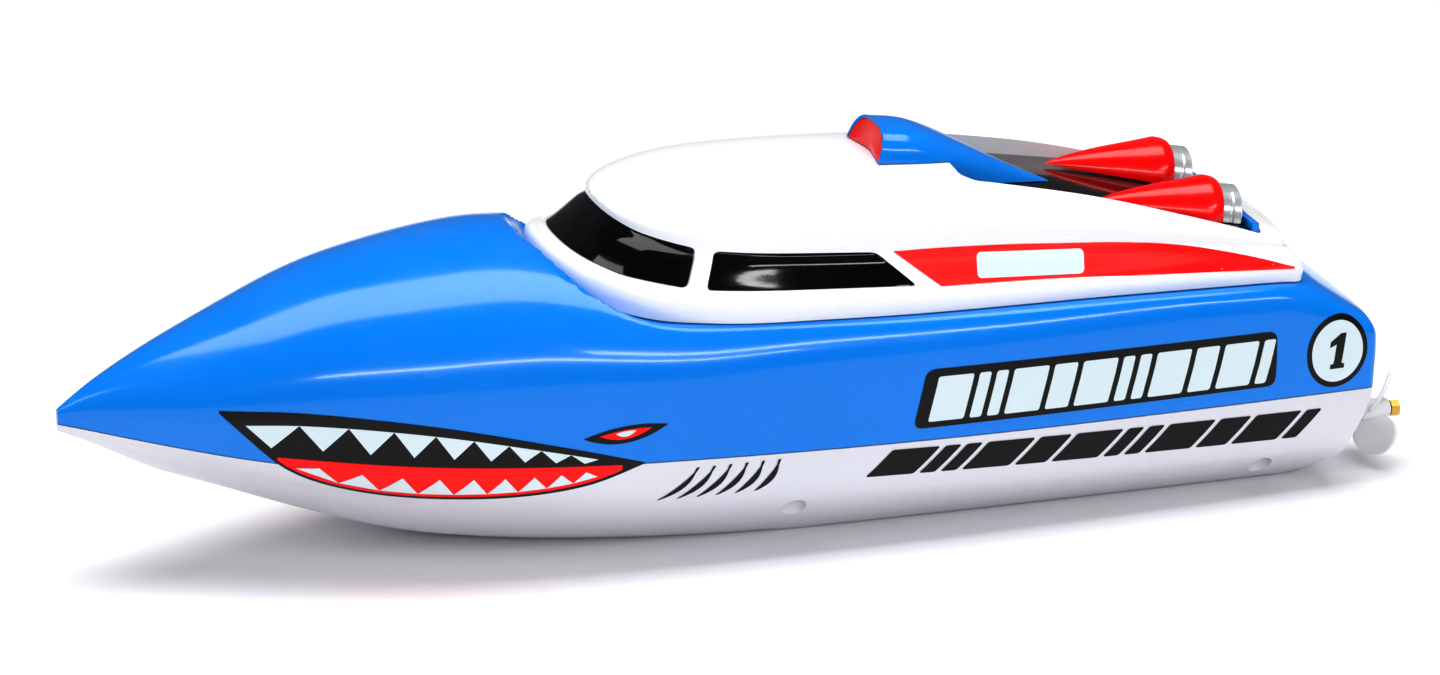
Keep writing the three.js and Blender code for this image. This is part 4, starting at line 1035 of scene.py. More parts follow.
    def skin(self, wall: float) -> bpy.types.Object:
        """The boat's body as a closed solid: its outside, or the space within its wall.

        Args:
            wall: the wall's thickness, or 0 for the outside.

        Returns:
            The solid.
        """
        rings = []
        corner = 2.6
        start, end = (wall, 0.955 * self.length) if wall else (0.0, self.length)
        for k in range(7):
            angle = k / 6 * math.pi / 2
            rings.append((start + corner * (1 - math.cos(angle)), wall + corner * (1 - math.sin(angle))))
        steps = 178
        first = start + corner
        for k in range(1, steps + 1):
            share = k / steps
            share = share + 0.02 * math.sin(2 * math.pi * share)
            rings.append((first + (end - first) * share, wall))
        made = Bench.loft([self.ring(x, wall, inset) for x, inset in rings])
        profile = [(x + wall, z + wall) for x, z in self.transom]
        outline = [(-40, profile[0][1]), *profile, (profile[-1][0], -30), (-40, -30)]
        cutter = Bench.prism([place(x, 60, z) for x, z in outline], Vector((0, -0.12, 0)))
        return Bench.combine(made, cutter, "DIFFERENCE")

    def beside_parting(self, below: bool) -> bpy.types.Object:
        """The half of space below or above the line where hull and deck meet."""
        side = -1 if below else 1
        line = [(k / 90 * self.length, self.parting_z(k / 90) + side * self.gap / 2) for k in range(91)]
        line = [(-40, line[0][1]), *line, (self.length + 30, line[-1][1])]
        outline = [*line, (self.length + 30, side * 150), (-40, side * 150)]
        return Bench.prism([place(x, 60, z) for x, z in outline], Vector((0, -0.12, 0)))


def slab(outline: Sequence[Pair], low: float, high: float) -> bpy.types.Object:
    """An upright solid over an outline in plan, between two heights."""
    return Bench.prism([place(x, y, low) for x, y in outline], Vector((0, 0, (high - low) * MM)))


def side_cutter(outline: Sequence[Pair]) -> bpy.types.Object:
    """A solid right across the boat over an outline seen from the side."""
    return Bench.prism([place(x, 60, z) for x, z in outline], Vector((0, -0.12, 0)))


def rounded(corners: Sequence[Pair], radius: float, steps: int = 6) -> list[Pair]:
    """A polygon with its corners rounded.

    Args:
        corners: the polygon's corners.
        radius: how far each corner is cut back.
        steps: pieces per corner.

    Returns:
        The rounded outline.
    """
    made: list[Pair] = []
    count = len(corners)
    for i in range(count):
        before, at, after = (Vector(corners[(i + k) % count]) for k in (-1, 0, 1))
        reach = min(radius, (at - before).length * 0.48, (at - after).length * 0.48)
        start = at + (before - at).normalized() * reach
        end = at + (after - at).normalized() * reach
        for k in range(steps + 1):
            s = k / steps
            point = start * (1 - s) ** 2 + at * 2 * s * (1 - s) + end * s * s
            made.append((point.x, point.y))
    return made


# ---------------------------------------------------------------- hull and deck mouldings
@dataclass
class Mouldings:
    """The white hull and blue deck, with the well, bosses and bores in them."""

    form: HullForm
    shop: PaintShop
    floor: float = 50.0
    floor_thickness: float = 1.6
    lip_wall: float = 1.6
    lip_clearance: float = 0.7
    lip_rise: float = 2.5
    hatch: tuple[float, float, float] = (116.0, 104.0, 42.0)
    hatch_corner: float = 6.0
    switch: tuple[float, float, float] = (44.0, 13.0, 7.0)
    stations: tuple[Pair, ...] = ((156, 35), (29, 31))
    seat_depth: float = 12.0
    drive: tuple[float, float, float] = (-7.0, 20.0, 14.0)
    tilt: float = 4.0
    sensor: Pair = (86.0, 9.0)

    def lip(self, inset: float) -> list[Pair]:
        """The outline of the raised lip inside the cover."""
        return self.form.plan.outline(inset, inset + self.form.plan.nose_inset, inset)

    def hatch_outline(self, grow: float) -> list[Pair]:
        """The hatch's rounded outline, grown all round."""
        x, length, width = self.hatch
        half, side = length / 2 + grow, width / 2 + grow
        corners = [(x + half, side), (x - half, side), (x - half, -side), (x + half, -side)]
        return rounded(corners, self.hatch_corner + grow, 8)

    def bosses(self) -> list[tuple[float, float, float]]:
        """Each hull screw's place and the height of its seat."""
        made = []
        for x, y in self.stations:
            seat = self.form.parting_z(x / self.form.length) - self.seat_depth
            made += [(x, y, seat), (x, -y, seat)]
        return made

    def shaft_tool(self, side: Side, start: float, end: float, radius: float) -> bpy.types.Object:
        """A round tool along one propeller shaft."""
        tool = Bench.spin([(start, 0), (start, radius), (end, radius), (end, 0)], 32)
        x, y, z = self.drive
        turn = Matrix.Rotation(-math.radians(self.tilt), 4, "Y")
        tool.data.transform(Matrix.Translation(place(x, side.value * y, z)) @ turn)
        return tool

    def build(self) -> bpy.types.Object:
        """Makes hull and deck.

        Returns:
            The whole outer body, kept as a tool for other pieces.
        """
        outer = self.form.skin(0)
        inner = self.form.skin(self.form.wall)
        wall = Bench.combine(Bench.copy(outer), inner, "DIFFERENCE")
        above, below = self.form.beside_parting(False), self.form.beside_parting(True)
        self.build_hull(Bench.combine(Bench.copy(wall), below, "INTERSECT", keep=True), outer, below)
        self.build_deck(Bench.combine(wall, above, "INTERSECT", keep=True), outer, above)
        Bench.discard(above)
        Bench.discard(below)
        return outer

    def build_hull(self, hull: bpy.types.Object, outer: bpy.types.Object, below: bpy.types.Object) -> None:
        """Finishes the hull: screw bosses and seats, shaft bores and sensor holes."""
        for x, y, seat in self.bosses():
            boss = Bench.combine(Bench.post(x, y, 0, 90, 4.6), outer, "INTERSECT", keep=True)
            hull = Bench.combine(hull, Bench.combine(boss, below, "INTERSECT", keep=True), "UNION")
            hull = Bench.combine(hull, Bench.post(x, y, -1, seat, 3.0, 40), "DIFFERENCE")
            hull = Bench.combine(hull, Bench.post(x, y, -1, 90, 1.4, 20), "DIFFERENCE")
        for side in Side:
            hull = Bench.combine(hull, self.shaft_tool(side, -34, 43, 2.45), "DIFFERENCE")
            x, y = self.sensor
            hull = Bench.combine(hull, Bench.post(x, side.value * y, -1, 1.5, 2.7), "DIFFERENCE")
            hull = Bench.combine(hull, Bench.post(x, side.value * y, -1, 9, 1.4, 20), "DIFFERENCE")
        present(hull, "hull_moulding", "hull", HULL_WHITE, self.shop, ["hull_shell"])

    def build_deck(self, deck: bpy.types.Object, outer: bpy.types.Object, above: bpy.types.Object) -> None:
        """Finishes the deck: the well with its lip, hatch and switch openings, and its screw bosses.

        Args:
            deck: the upper half of the hollowed body.
            outer: the body's outside.
            above: the space above the cover's seat.
        """
        outside = self.form.wall + self.lip_clearance
        well = slab(self.lip(outside), self.floor - self.floor_thickness, 170)
        well = Bench.combine(well, Bench.copy(outer, (0, 0, self.lip_rise)), "INTERSECT")
        deck = Bench.combine(deck, well, "UNION")
        for x, y, _ in self.bosses():
            boss = Bench.combine(Bench.post(x, y, 0, 170, 3.6), outer, "INTERSECT", keep=True)
            deck = Bench.combine(deck, Bench.combine(boss, above, "INTERSECT", keep=True), "UNION")
        deck = Bench.combine(deck, slab(self.lip(outside + self.lip_wall), self.floor, 170), "DIFFERENCE")
        deck = Bench.combine(deck, slab(self.hatch_outline(0), 5, 170), "DIFFERENCE")
        x, length, width = self.switch
        deck = Bench.combine(deck, Bench.block(place(x, 0, self.floor), (length, width, 8)), "DIFFERENCE")
        for x, y, seat in self.bosses():
            deck = Bench.combine(deck, Bench.post(x, y, 0, seat + 19, 1.4, 20), "DIFFERENCE")
        present(deck, "deck_moulding", "hull", DECK_BLUE, self.shop, ["deck_shell"])


# ---------------------------------------------------------------- cabin cover
@dataclass
class Recess:
    """The engine recess in the rear of the cover, with a floor that slopes down aft."""

    front: float = 107.0
    rear: float = 29.0
    front_width: float = 43.0
    rear_width: float = 57.0
    front_z: float = 83.6
    rear_z: float = 68.6
    wall: float = 1.5
    panel: float = 0.8
    tray: float = 1.6

    @property
    def slope(self) -> float:
        """The floor's slope, as a rise per length."""
        return (self.front_z - self.rear_z) / (self.front - self.rear)

    def floor(self, x: float) -> float:
        """Height of the floor at a place."""
        return self.rear_z + (x - self.rear) * self.slope

    def outline(self, grow: float) -> list[Pair]:
        """The opening in plan, grown all round, with small round corners."""
        front, rear = self.front + grow, self.rear - grow
        wide, narrow = self.rear_width / 2 + grow, self.front_width / 2 + grow
        corners = [
            (front, narrow - 3), (front - 3, narrow), (rear, wide), (rear, -wide), (front - 3, -narrow),
            (front, -narrow + 3)]
        return rounded(corners, 1.4, 4)

    def over_floor(self, low: float, high: float) -> bpy.types.Object:
        """The slab between two heights over the sloping floor."""
        ends = (0.0, 250.0)
        outline = [(x, self.floor(x) + low) for x in ends]
        outline += [(x, self.floor(x) + high) for x in reversed(ends)]
        return side_cutter(outline)


@dataclass
class CabinCover:
    """The white lift-off cover, its black panes and its engine recess."""

    form: HullForm
    shop: PaintShop
    recess: Recess = field(default_factory=Recess)
    wall: float = 1.8
    skirt: float = 12.0
    eave_insets: tuple[float, float, float] = (4.8, 18.5, 3.0)
    pane_sink: float = 0.55
    pane_wall: float = 1.2
    side_window: tuple[Pair, ...] = ((0.537, 66.5), (0.815, 70.4), (0.799, 79.2), (0.588, 75.4))
    windshield: tuple[Pair, ...] = (
        (0.837, 70.9), (0.91, 73.3), (0.945, 75.5), (0.98, 78.3), (1.06, 84), (1.01, 92), (0.918, 85),
        (0.88, 82.3), (0.819, 79.8))

    def body(self, wall: float) -> bpy.types.Object:
        """The cover as a filled solid, or the space within a wall.

        Args:
            wall: how far the surface is moved in.

        Returns:
            A closed solid.
        """
        plan = self.form.plan
        side, nose, rear = self.eave_insets
        sill, seat, eave = plan.sill, plan.seat, plan.eave
        levels: list[tuple[float, float, float, Callable[[float], float]]] = [
            (0, 3, 0, lambda x: seat(x) - self.skirt - wall),
            (0, 3, 0, seat),
            (-0.4, 2.3, -0.3, lambda x: seat(x) + 0.5 * (sill(x) - seat(x))),
            (0.3, 3.8, 0.2, lambda x: seat(x) + 0.85 * (sill(x) - seat(x))),
            (1.2, 7.4, 0.8, sill),
            (side - 1.4, nose - 3.4, rear - 1, lambda x: sill(x) + 0.7 * (eave(x) - sill(x))),
            (side, nose, rear, lambda x: eave(x) - wall * 0.6),
        ]
        rings = []
        for inset, nose_in, rear_in, at in levels:
            outline = plan.outline(inset + wall, nose_in + wall, rear_in + wall)
            rings.append([Vector((x, y, at(x))) for x, y in outline])
        eave_outline = plan.outline(side + wall, nose + wall, rear + wall)
        middle = plan.x_at(0.52)
        roofs = []
        for k in range(1, 31):
            angle = k / 30 * math.pi / 2
            share = max(math.cos(angle), 0.02) ** (2 / 3)
            ring = []
            for x, y in eave_outline:
                x, y = middle + (x - middle) * share, y * share
                ring.append(Vector((x, y, plan.roof(x, y, side, nose) - wall)))
            roofs.append(ring)
        steps = (1, 7, 6, 7, 7, 6)
        fine = []
        anchors = rings + [roofs[1]]
        for i, count in enumerate(steps):
            for k in range(count):
                s = k / count
                fine.append([
                    self._through(anchors[max(i - 1, 0)][j], anchors[i][j], anchors[i + 1][j],
                                  anchors[min(i + 2, len(anchors) - 1)][j], s)
                    for j in range(len(rings[0]))])
        fine.append(rings[-1])
        return Bench.loft([[place(*p) for p in ring] for ring in fine + roofs])

    @staticmethod
    def _through(before: Vector, start: Vector, end: Vector, after: Vector, s: float) -> Vector:
        """A point between two rings on a curve that also heeds their neighbours."""
        leave, arrive = (end - before) / 2, (after - start) / 2
        span = (end - start).length
        for slope in (leave, arrive):
            if slope.length > 1.2 * span:
                slope *= 1.2 * span / slope.length
        a = 2 * s ** 3 - 3 * s ** 2 + 1
        b = s ** 3 - 2 * s ** 2 + s
        return start * a + leave * b + end * (1 - a) + arrive * (s ** 3 - s ** 2)

    def opening(self, shares: Sequence[Pair], shrink: float, radius: float) -> list[Pair]:
        """A window's outline seen from the side, moved in and with rounded corners."""
        points = [Vector((self.form.plan.x_at(t), z)) for t, z in shares]
        middle = sum(points, Vector((0, 0))) / len(points)
        moved = [p - (p - middle).normalized() * shrink for p in points]
        return rounded([(p.x, p.y) for p in moved], radius, 5)

    def build(self, hull_body: bpy.types.Object) -> bpy.types.Object:
        """Makes the cover and its panes.

        Args:
            hull_body: the outside of hull and deck.

        Returns:
            The filled cover, kept as a tool.
        """
        full = self.body(0)
        cover = Bench.combine(Bench.copy(full), self.body(self.wall), "DIFFERENCE")
        coaming = slab(self.recess.outline(self.recess.wall), 5, 170)
        coaming = Bench.combine(coaming, full, "INTERSECT", keep=True)
        low = -self.recess.panel - self.recess.tray
        coaming = Bench.combine(coaming, self.recess.over_floor(low, 170), "INTERSECT")
        cover = Bench.combine(cover, coaming, "UNION")
        cover = Bench.combine(cover, slab(self.recess.outline(0), 0, 170), "DIFFERENCE")
        cover = Bench.combine(cover, Bench.copy(hull_body, (0, 0, self.form.gap)), "DIFFERENCE")
        for shares in (self.side_window, self.windshield):
            cover = Bench.combine(cover, side_cutter(self.opening(shares, 0, 1.6)), "DIFFERENCE")
        present(cover, "cover_moulding", "cover", COVER_WHITE, self.shop, ["cabin_cover"])
        self.build_panes()
        return full

    def build_panes(self) -> None:
        """Makes the windscreen and the two side panes, sunk a little below the cover."""
        glass = self.body(self.pane_sink)
        glass = Bench.combine(glass, self.body(self.pane_sink + self.pane_wall), "DIFFERENCE")
        pane = Bench.combine(Bench.copy(glass), side_cutter(self.opening(self.windshield, 0.25, 1.4)),
            "INTERSECT")
        present(pane, "windscreen", "cover", WINDOW_BLACK, self.shop, ["windshield"])
        sides = Bench.combine(glass, side_cutter(self.opening(self.side_window, 0.4, 1.4)), "INTERSECT")
        for side in Side:
            half = Bench.block(Vector((0, side.value * 0.055, 0.05)), (500, 90, 200))
            pane = Bench.combine(Bench.copy(sides), half, "INTERSECT")
            present(pane, f"side_pane_{side.label}", "cover", WINDOW_BLACK, self.shop,
                [f"side_window_{side.label}"])
        Bench.discard(sides)


@dataclass
class EngineBay:
    """The tray, scoop, cowls and nozzles in the cover's recess."""

    shop: PaintShop
    recess: Recess
    gap: float = 0.3
    mouth_x: float = 126.5
    length: float = 50.0
    width: float = 24.6
    top: float = 98.79
    rake: float = 0.4
    wall: float = 1.1
    fullness: float = 2.7
    ridge: Line = field(default_factory=lambda: Line((0, 1), (0.2, 0.93), (0.45, 0.7), (0.75, 0.32),
        (1, 0.02), soften=0.02))
    half: Line = field(default_factory=lambda: Line((0, 1), (0.3, 0.97), (0.6, 0.72), (0.85, 0.36),
        (1, 0.1), soften=0.02))
    cowl_tip: Pair = (71.0, 17.0)
    cowl_length: float = 33.0
    cowl_radius: float = 9.6
    cowl_wall: float = 1.4

    def scoop_body(self, wall: float, length: float, steps: int = 44) -> bpy.types.Object:
        """The scoop as a filled solid, or the space within a wall.

        Args:
            wall: the wall's thickness, or 0 for the outside.
            length: how far it runs back from the mouth.
            steps: how many rings it has.

        Returns:
            The solid.
        """
        tail = self.recess.floor(self.mouth_x - self.length)
        foot = tail - 6
        rings = []
        for s in range(steps + 1):
            share = s / steps * length / self.length
            top = tail + (self.top - tail) * self.ridge(share) - wall
            half = self.width / 2 * self.half(share) - wall
            spring = top - min(9, (top - foot) * 0.8)
            arch = []
            for k in range(61):
                angle = k / 60 * math.pi
                cosine, sine = math.cos(angle), max(math.sin(angle), 0.0)
                power = 2 / self.fullness
                across = math.copysign(abs(cosine) ** power, cosine) * half
                arch.append(Vector((across, spring + (top - spring) * sine ** power)))
            ring = spread(arch, 40) + [Vector((-half, foot)), Vector((half, foot))]
            lean = self.rake * (1 - share)
            made = []
            for y, z in ring:
                back = max(lean * (z - self.top + 8), 0.0)
                made.append(place(self.mouth_x - share * self.length - back, y, z))
            rings.append(made)
        return Bench.loft(rings)

    def build(self, cover_full: bpy.types.Object) -> None:
        """Makes all that stands in the recess."""
        hollowed = Bench.combine(Bench.copy(cover_full), slab(self.recess.outline(0), 0, 170), "DIFFERENCE")
        self.build_tray()
        self.build_scoop(hollowed)
        Bench.discard(hollowed)
        for side in Side:
            self.build_cowl(side)

    def build_tray(self) -> None:
        """Makes the blue tray with its rear lip, and the black panel on it."""
        low = -self.recess.panel - self.recess.tray
        lip_end = self.recess.rear + self.gap + 2.2
        opening = slab(self.recess.outline(-self.gap), 0, 170)
        tray = Bench.combine(Bench.copy(opening),
            self.recess.over_floor(low, -self.recess.panel - self.gap), "INTERSECT")
        lip = Bench.combine(Bench.copy(opening), self.recess.over_floor(low, 1.6), "INTERSECT")
        lip = Bench.combine(lip, Bench.block(place(lip_end - 45, 0, 90), (90, 90, 180)), "INTERSECT")
        tray = Bench.bevel(Bench.combine(tray, lip, "UNION"), 0.35, 3)
        present(tray, "engine_tray_moulding", "cover", DECK_BLUE, self.shop, ["engine_tray"])
        panel = Bench.combine(opening, self.recess.over_floor(-self.recess.panel, 0), "INTERSECT")
        panel = Bench.combine(panel, Bench.block(place(lip_end + self.gap + 150, 0, 90), (300, 90, 180)),
            "INTERSECT")
        present(Bench.bevel(panel, 0.2, 2), "tray_floor_panel", "cover", WINDOW_BLACK, self.shop,
            ["tray_panel"])

    def build_scoop(self, hollowed: bpy.types.Object) -> None:
        """Makes the blue scoop and the red insert in its mouth.

        Args:
            hollowed: the cover's outside with its recess cut, which the scoop sits on.
        """
        scoop = self.scoop_body(0, self.length)
        above = Bench.copy(hollowed, (0, 0, self.gap))
        duct = self.scoop_body(0.6, 14, 12)
        duct.data.transform(Matrix.Translation((0.6 * MM, 0, 0)))
        scoop = Bench.combine(scoop, Bench.combine(duct, above, "DIFFERENCE"), "DIFFERENCE")
        scoop = Bench.combine(scoop, Bench.copy(hollowed, (0, 0, self.gap)), "DIFFERENCE")
        floor = Bench.combine(self.recess.over_floor(-90, self.gap),
            slab(self.recess.outline(self.gap), -40, 170), "INTERSECT")
        scoop = Bench.combine(scoop, floor, "DIFFERENCE")
        present(scoop, "air_scoop", "cover", DECK_BLUE, self.shop, ["intake_scoop"], 40)
        insert = self.scoop_body(0.75, 14, 12)
        insert.data.transform(Matrix.Translation((-0.3 * MM, 0, 0)))
        ahead = self.scoop_body(-1, self.length)
        ahead.data.transform(Matrix.Translation((-1.9 * MM, 0, 0)))
        insert = Bench.combine(insert, ahead, "DIFFERENCE")
        insert = Bench.combine(insert, Bench.copy(hollowed, (0, 0, self.gap)), "DIFFERENCE")
        present(insert, "scoop_mouth_insert", "cover", RED, self.shop, ["scoop_insert"])

    def _seat(self, obj: bpy.types.Object, side: Side) -> bpy.types.Object:
        """Keeps the upper half of a turned body and lays it on the recess's floor."""
        obj = Bench.combine(obj, Bench.block(Vector((0, 0, 0.045)), (180, 90, 90)), "INTERSECT")
        x, y = self.cowl_tip
        turn = Matrix.Rotation(-math.atan(self.recess.slope), 4, "Y")
        spot = place(x, side.value * y, self.recess.floor(x) + self.gap)
        obj.data.transform(Matrix.Translation(spot) @ turn)
        return obj

    def build_cowl(self, side: Side) -> None:
        """Makes one red cowl and the silver nozzle in its rear.

        Args:
            side: the side it is on.
        """
        rear, radius = -self.cowl_length, self.cowl_radius
        pocket = radius - self.cowl_wall
        skin = [Vector((0.0, 0.0)), Vector((-3, 1.5)), Vector((-12.5, 4.9)),
            Vector((0.75 * rear, 0.86 * radius)),
                Vector((rear + 3.6, radius))]
        line = Line(*[(-p.x, p.y) for p in skin])
        profile = [(-x, line(x)) for x in (0, 0.6, 1.5, 3, 5, 8, 12, 16, 20, 24, 27.5, -rear - 3.6)]
        profile[0] = (0.0, 0.0)
        profile += [(rear + 2.2, radius - 0.05), (rear + 1.0, radius - 0.3), (rear + 0.3, radius - 0.7),
            (rear, radius - 1.1)]
        profile += [(rear, pocket), (rear + 8, pocket), (rear + 8, 0)]
        cowl = self._seat(Bench.spin(profile, 72), side)
        present(cowl, f"cowl_{side.label}", "cover", RED, self.shop, [f"jet_cowl_{side.label}"])
        outer, bore = pocket - self.gap, pocket - self.gap - 1.3
        end = rear - 5.5
        ring = [(end, bore + 0.35), (end + 0.35, bore), (end + 7, bore), (end + 7, 0), (end + 9, 0),
            (end + 9, outer), (end + 3.4, outer), (end + 3.0, outer - 0.35), (end + 2.6, outer - 0.35),
            (end + 2.2, outer), (end + 0.4, outer), (end, outer - 0.4)]
        nozzle = self._seat(Bench.spin(ring, 64), side)
        present(nozzle, f"nozzle_{side.label}", "cover", NOZZLE_SILVER, self.shop,
            [f"jet_nozzle_{side.label}"])


# ---------------------------------------------------------------- printed transfers
class Transfers:
    """Printed films on the boat's sides, each cut to an outline seen from the side."""

    def __init__(self, shop: PaintShop, hull: bpy.types.Object, cover: bpy.types.Object) -> None:
        """Keeps the surfaces that films are laid on.

        Args:
            shop: where materials come from.
            hull: the outside of hull and deck.
            cover: the outside of the cover.
        """
        self.shop = shop
        self.skins = {"hull": self._tree(hull), "cover": self._tree(cover)}

    @staticmethod
    def _tree(obj: bpy.types.Object) -> BVHTree:
        """A search tree over an object's faces."""
        mesh = obj.data
        return BVHTree.FromPolygons([v.co for v in mesh.vertices], [p.vertices[:] for p in mesh.polygons])

    @staticmethod
    def _dense(outline: Sequence[Pair], step: float) -> list[Vector]:
        """An outline with no side longer than a step."""
        points = []
        for a, b in zip(outline, list(outline[1:]) + [outline[0]]):
            start, end = Vector(a), Vector(b)
            count = max(1, math.ceil((end - start).length / step))
            points += [start.lerp(end, k / count) for k in range(count)]
        return points

    @staticmethod
    def _holds(outline: Sequence[Vector], point: Vector) -> bool:
        """Whether a point lies inside an outline."""
        inside = False
        for a, b in zip(outline, list(outline[1:]) + [outline[0]]):
            if (a.y > point.y) != (b.y > point.y):
                if point.x < (b.x - a.x) * (point.y - a.y) / (b.y - a.y) + a.x:
                    inside = not inside
        return inside

    def film(self, outline: Sequence[Pair], step: float = 1.1) -> tuple[list[Vector], list[list[int]]]:
        """Cuts a flat film into small triangles.

        Args:
            outline: the film's edge.
            step: the longest side of a triangle, about.

        Returns:
            Flat points, and triangles over them.
        """
        rim = self._dense(outline, step)
        clean = [rim[0]]
        for point in rim[1:]:
            if (point - clean[-1]).length > 0.02:
                clean.append(point)
        inner = []
        low = Vector((min(p.x for p in clean), min(p.y for p in clean)))
        high = Vector((max(p.x for p in clean), max(p.y for p in clean)))
        tree = KDTree(len(clean))
        for i, p in enumerate(clean):
            tree.insert((p.x, p.y, 0), i)
        tree.balance()
        for i in range(int((high.x - low.x) / step) + 1):
            for j in range(int((high.y - low.y) / step) + 1):
                p = Vector((low.x + (i + 0.5 * (j % 2)) * step, low.y + j * step))
                if self._holds(clean, p) and tree.find((p.x, p.y, 0))[2] > 0.45 * step:
                    inner.append(p)
        edges = [(i, (i + 1) % len(clean)) for i in range(len(clean))]
        points, _, faces, *_ = delaunay_2d_cdt(clean + inner, edges, [], 1, 1e-5)
        return points, faces

    def lay(
        self, name: str, outline: Sequence[Pair], finish: Finish, body: str = "hull", layer: int = 0,
        sides: Iterable[Side] = Side, shift: Callable[[Side, Vector], Vector] | None = None,
        step: float = 1.1,
    ) -> None:
        """Lays a film on the boat.

        Args:
            name: the film's name.
            outline: its edge, as pairs of x and z.
            finish: its print.
            body: the body whose skin it lies on.
            layer: how many films lie under it.
            sides: the sides that carry it.
            shift: moves its flat points for one side, where that side isn't a mirror image.
            step: how finely it is cut.
        """
        flat, faces = self.film(outline, step)
        for side in sides:
            sign = side.value
            points = []
            for p in flat:
                if shift:
                    p = shift(side, p)
                start = place(p.x, sign * 90, p.y)
                spot, normal, *_ = self.skins[body].ray_cast(start, Vector((0, -sign, 0)))
                if spot is None:
                    spot, normal, *_ = self.skins[body].find_nearest(place(p.x, sign * 40, p.y))
                if normal.y * sign < 0:
                    normal = -normal
                points.append(spot + normal * (0.1 + 0.07 * layer) * MM)
            mesh = bpy.data.meshes.new(name)
            mesh.from_pydata(points, [], [list(f) for f in faces])
            film = bpy.data.objects.new(name, mesh)
            bpy.context.scene.collection.objects.link(film)
            total = sum((poly.normal * poly.area for poly in mesh.polygons), Vector())
            if total.y * sign < 0:
                mesh.flip_normals()
            Bench.modify(film, "SOLIDIFY", thickness=0.045 * MM, offset=1.0)
            present(film, f"{name}_{side.label}", body, finish, self.shop)


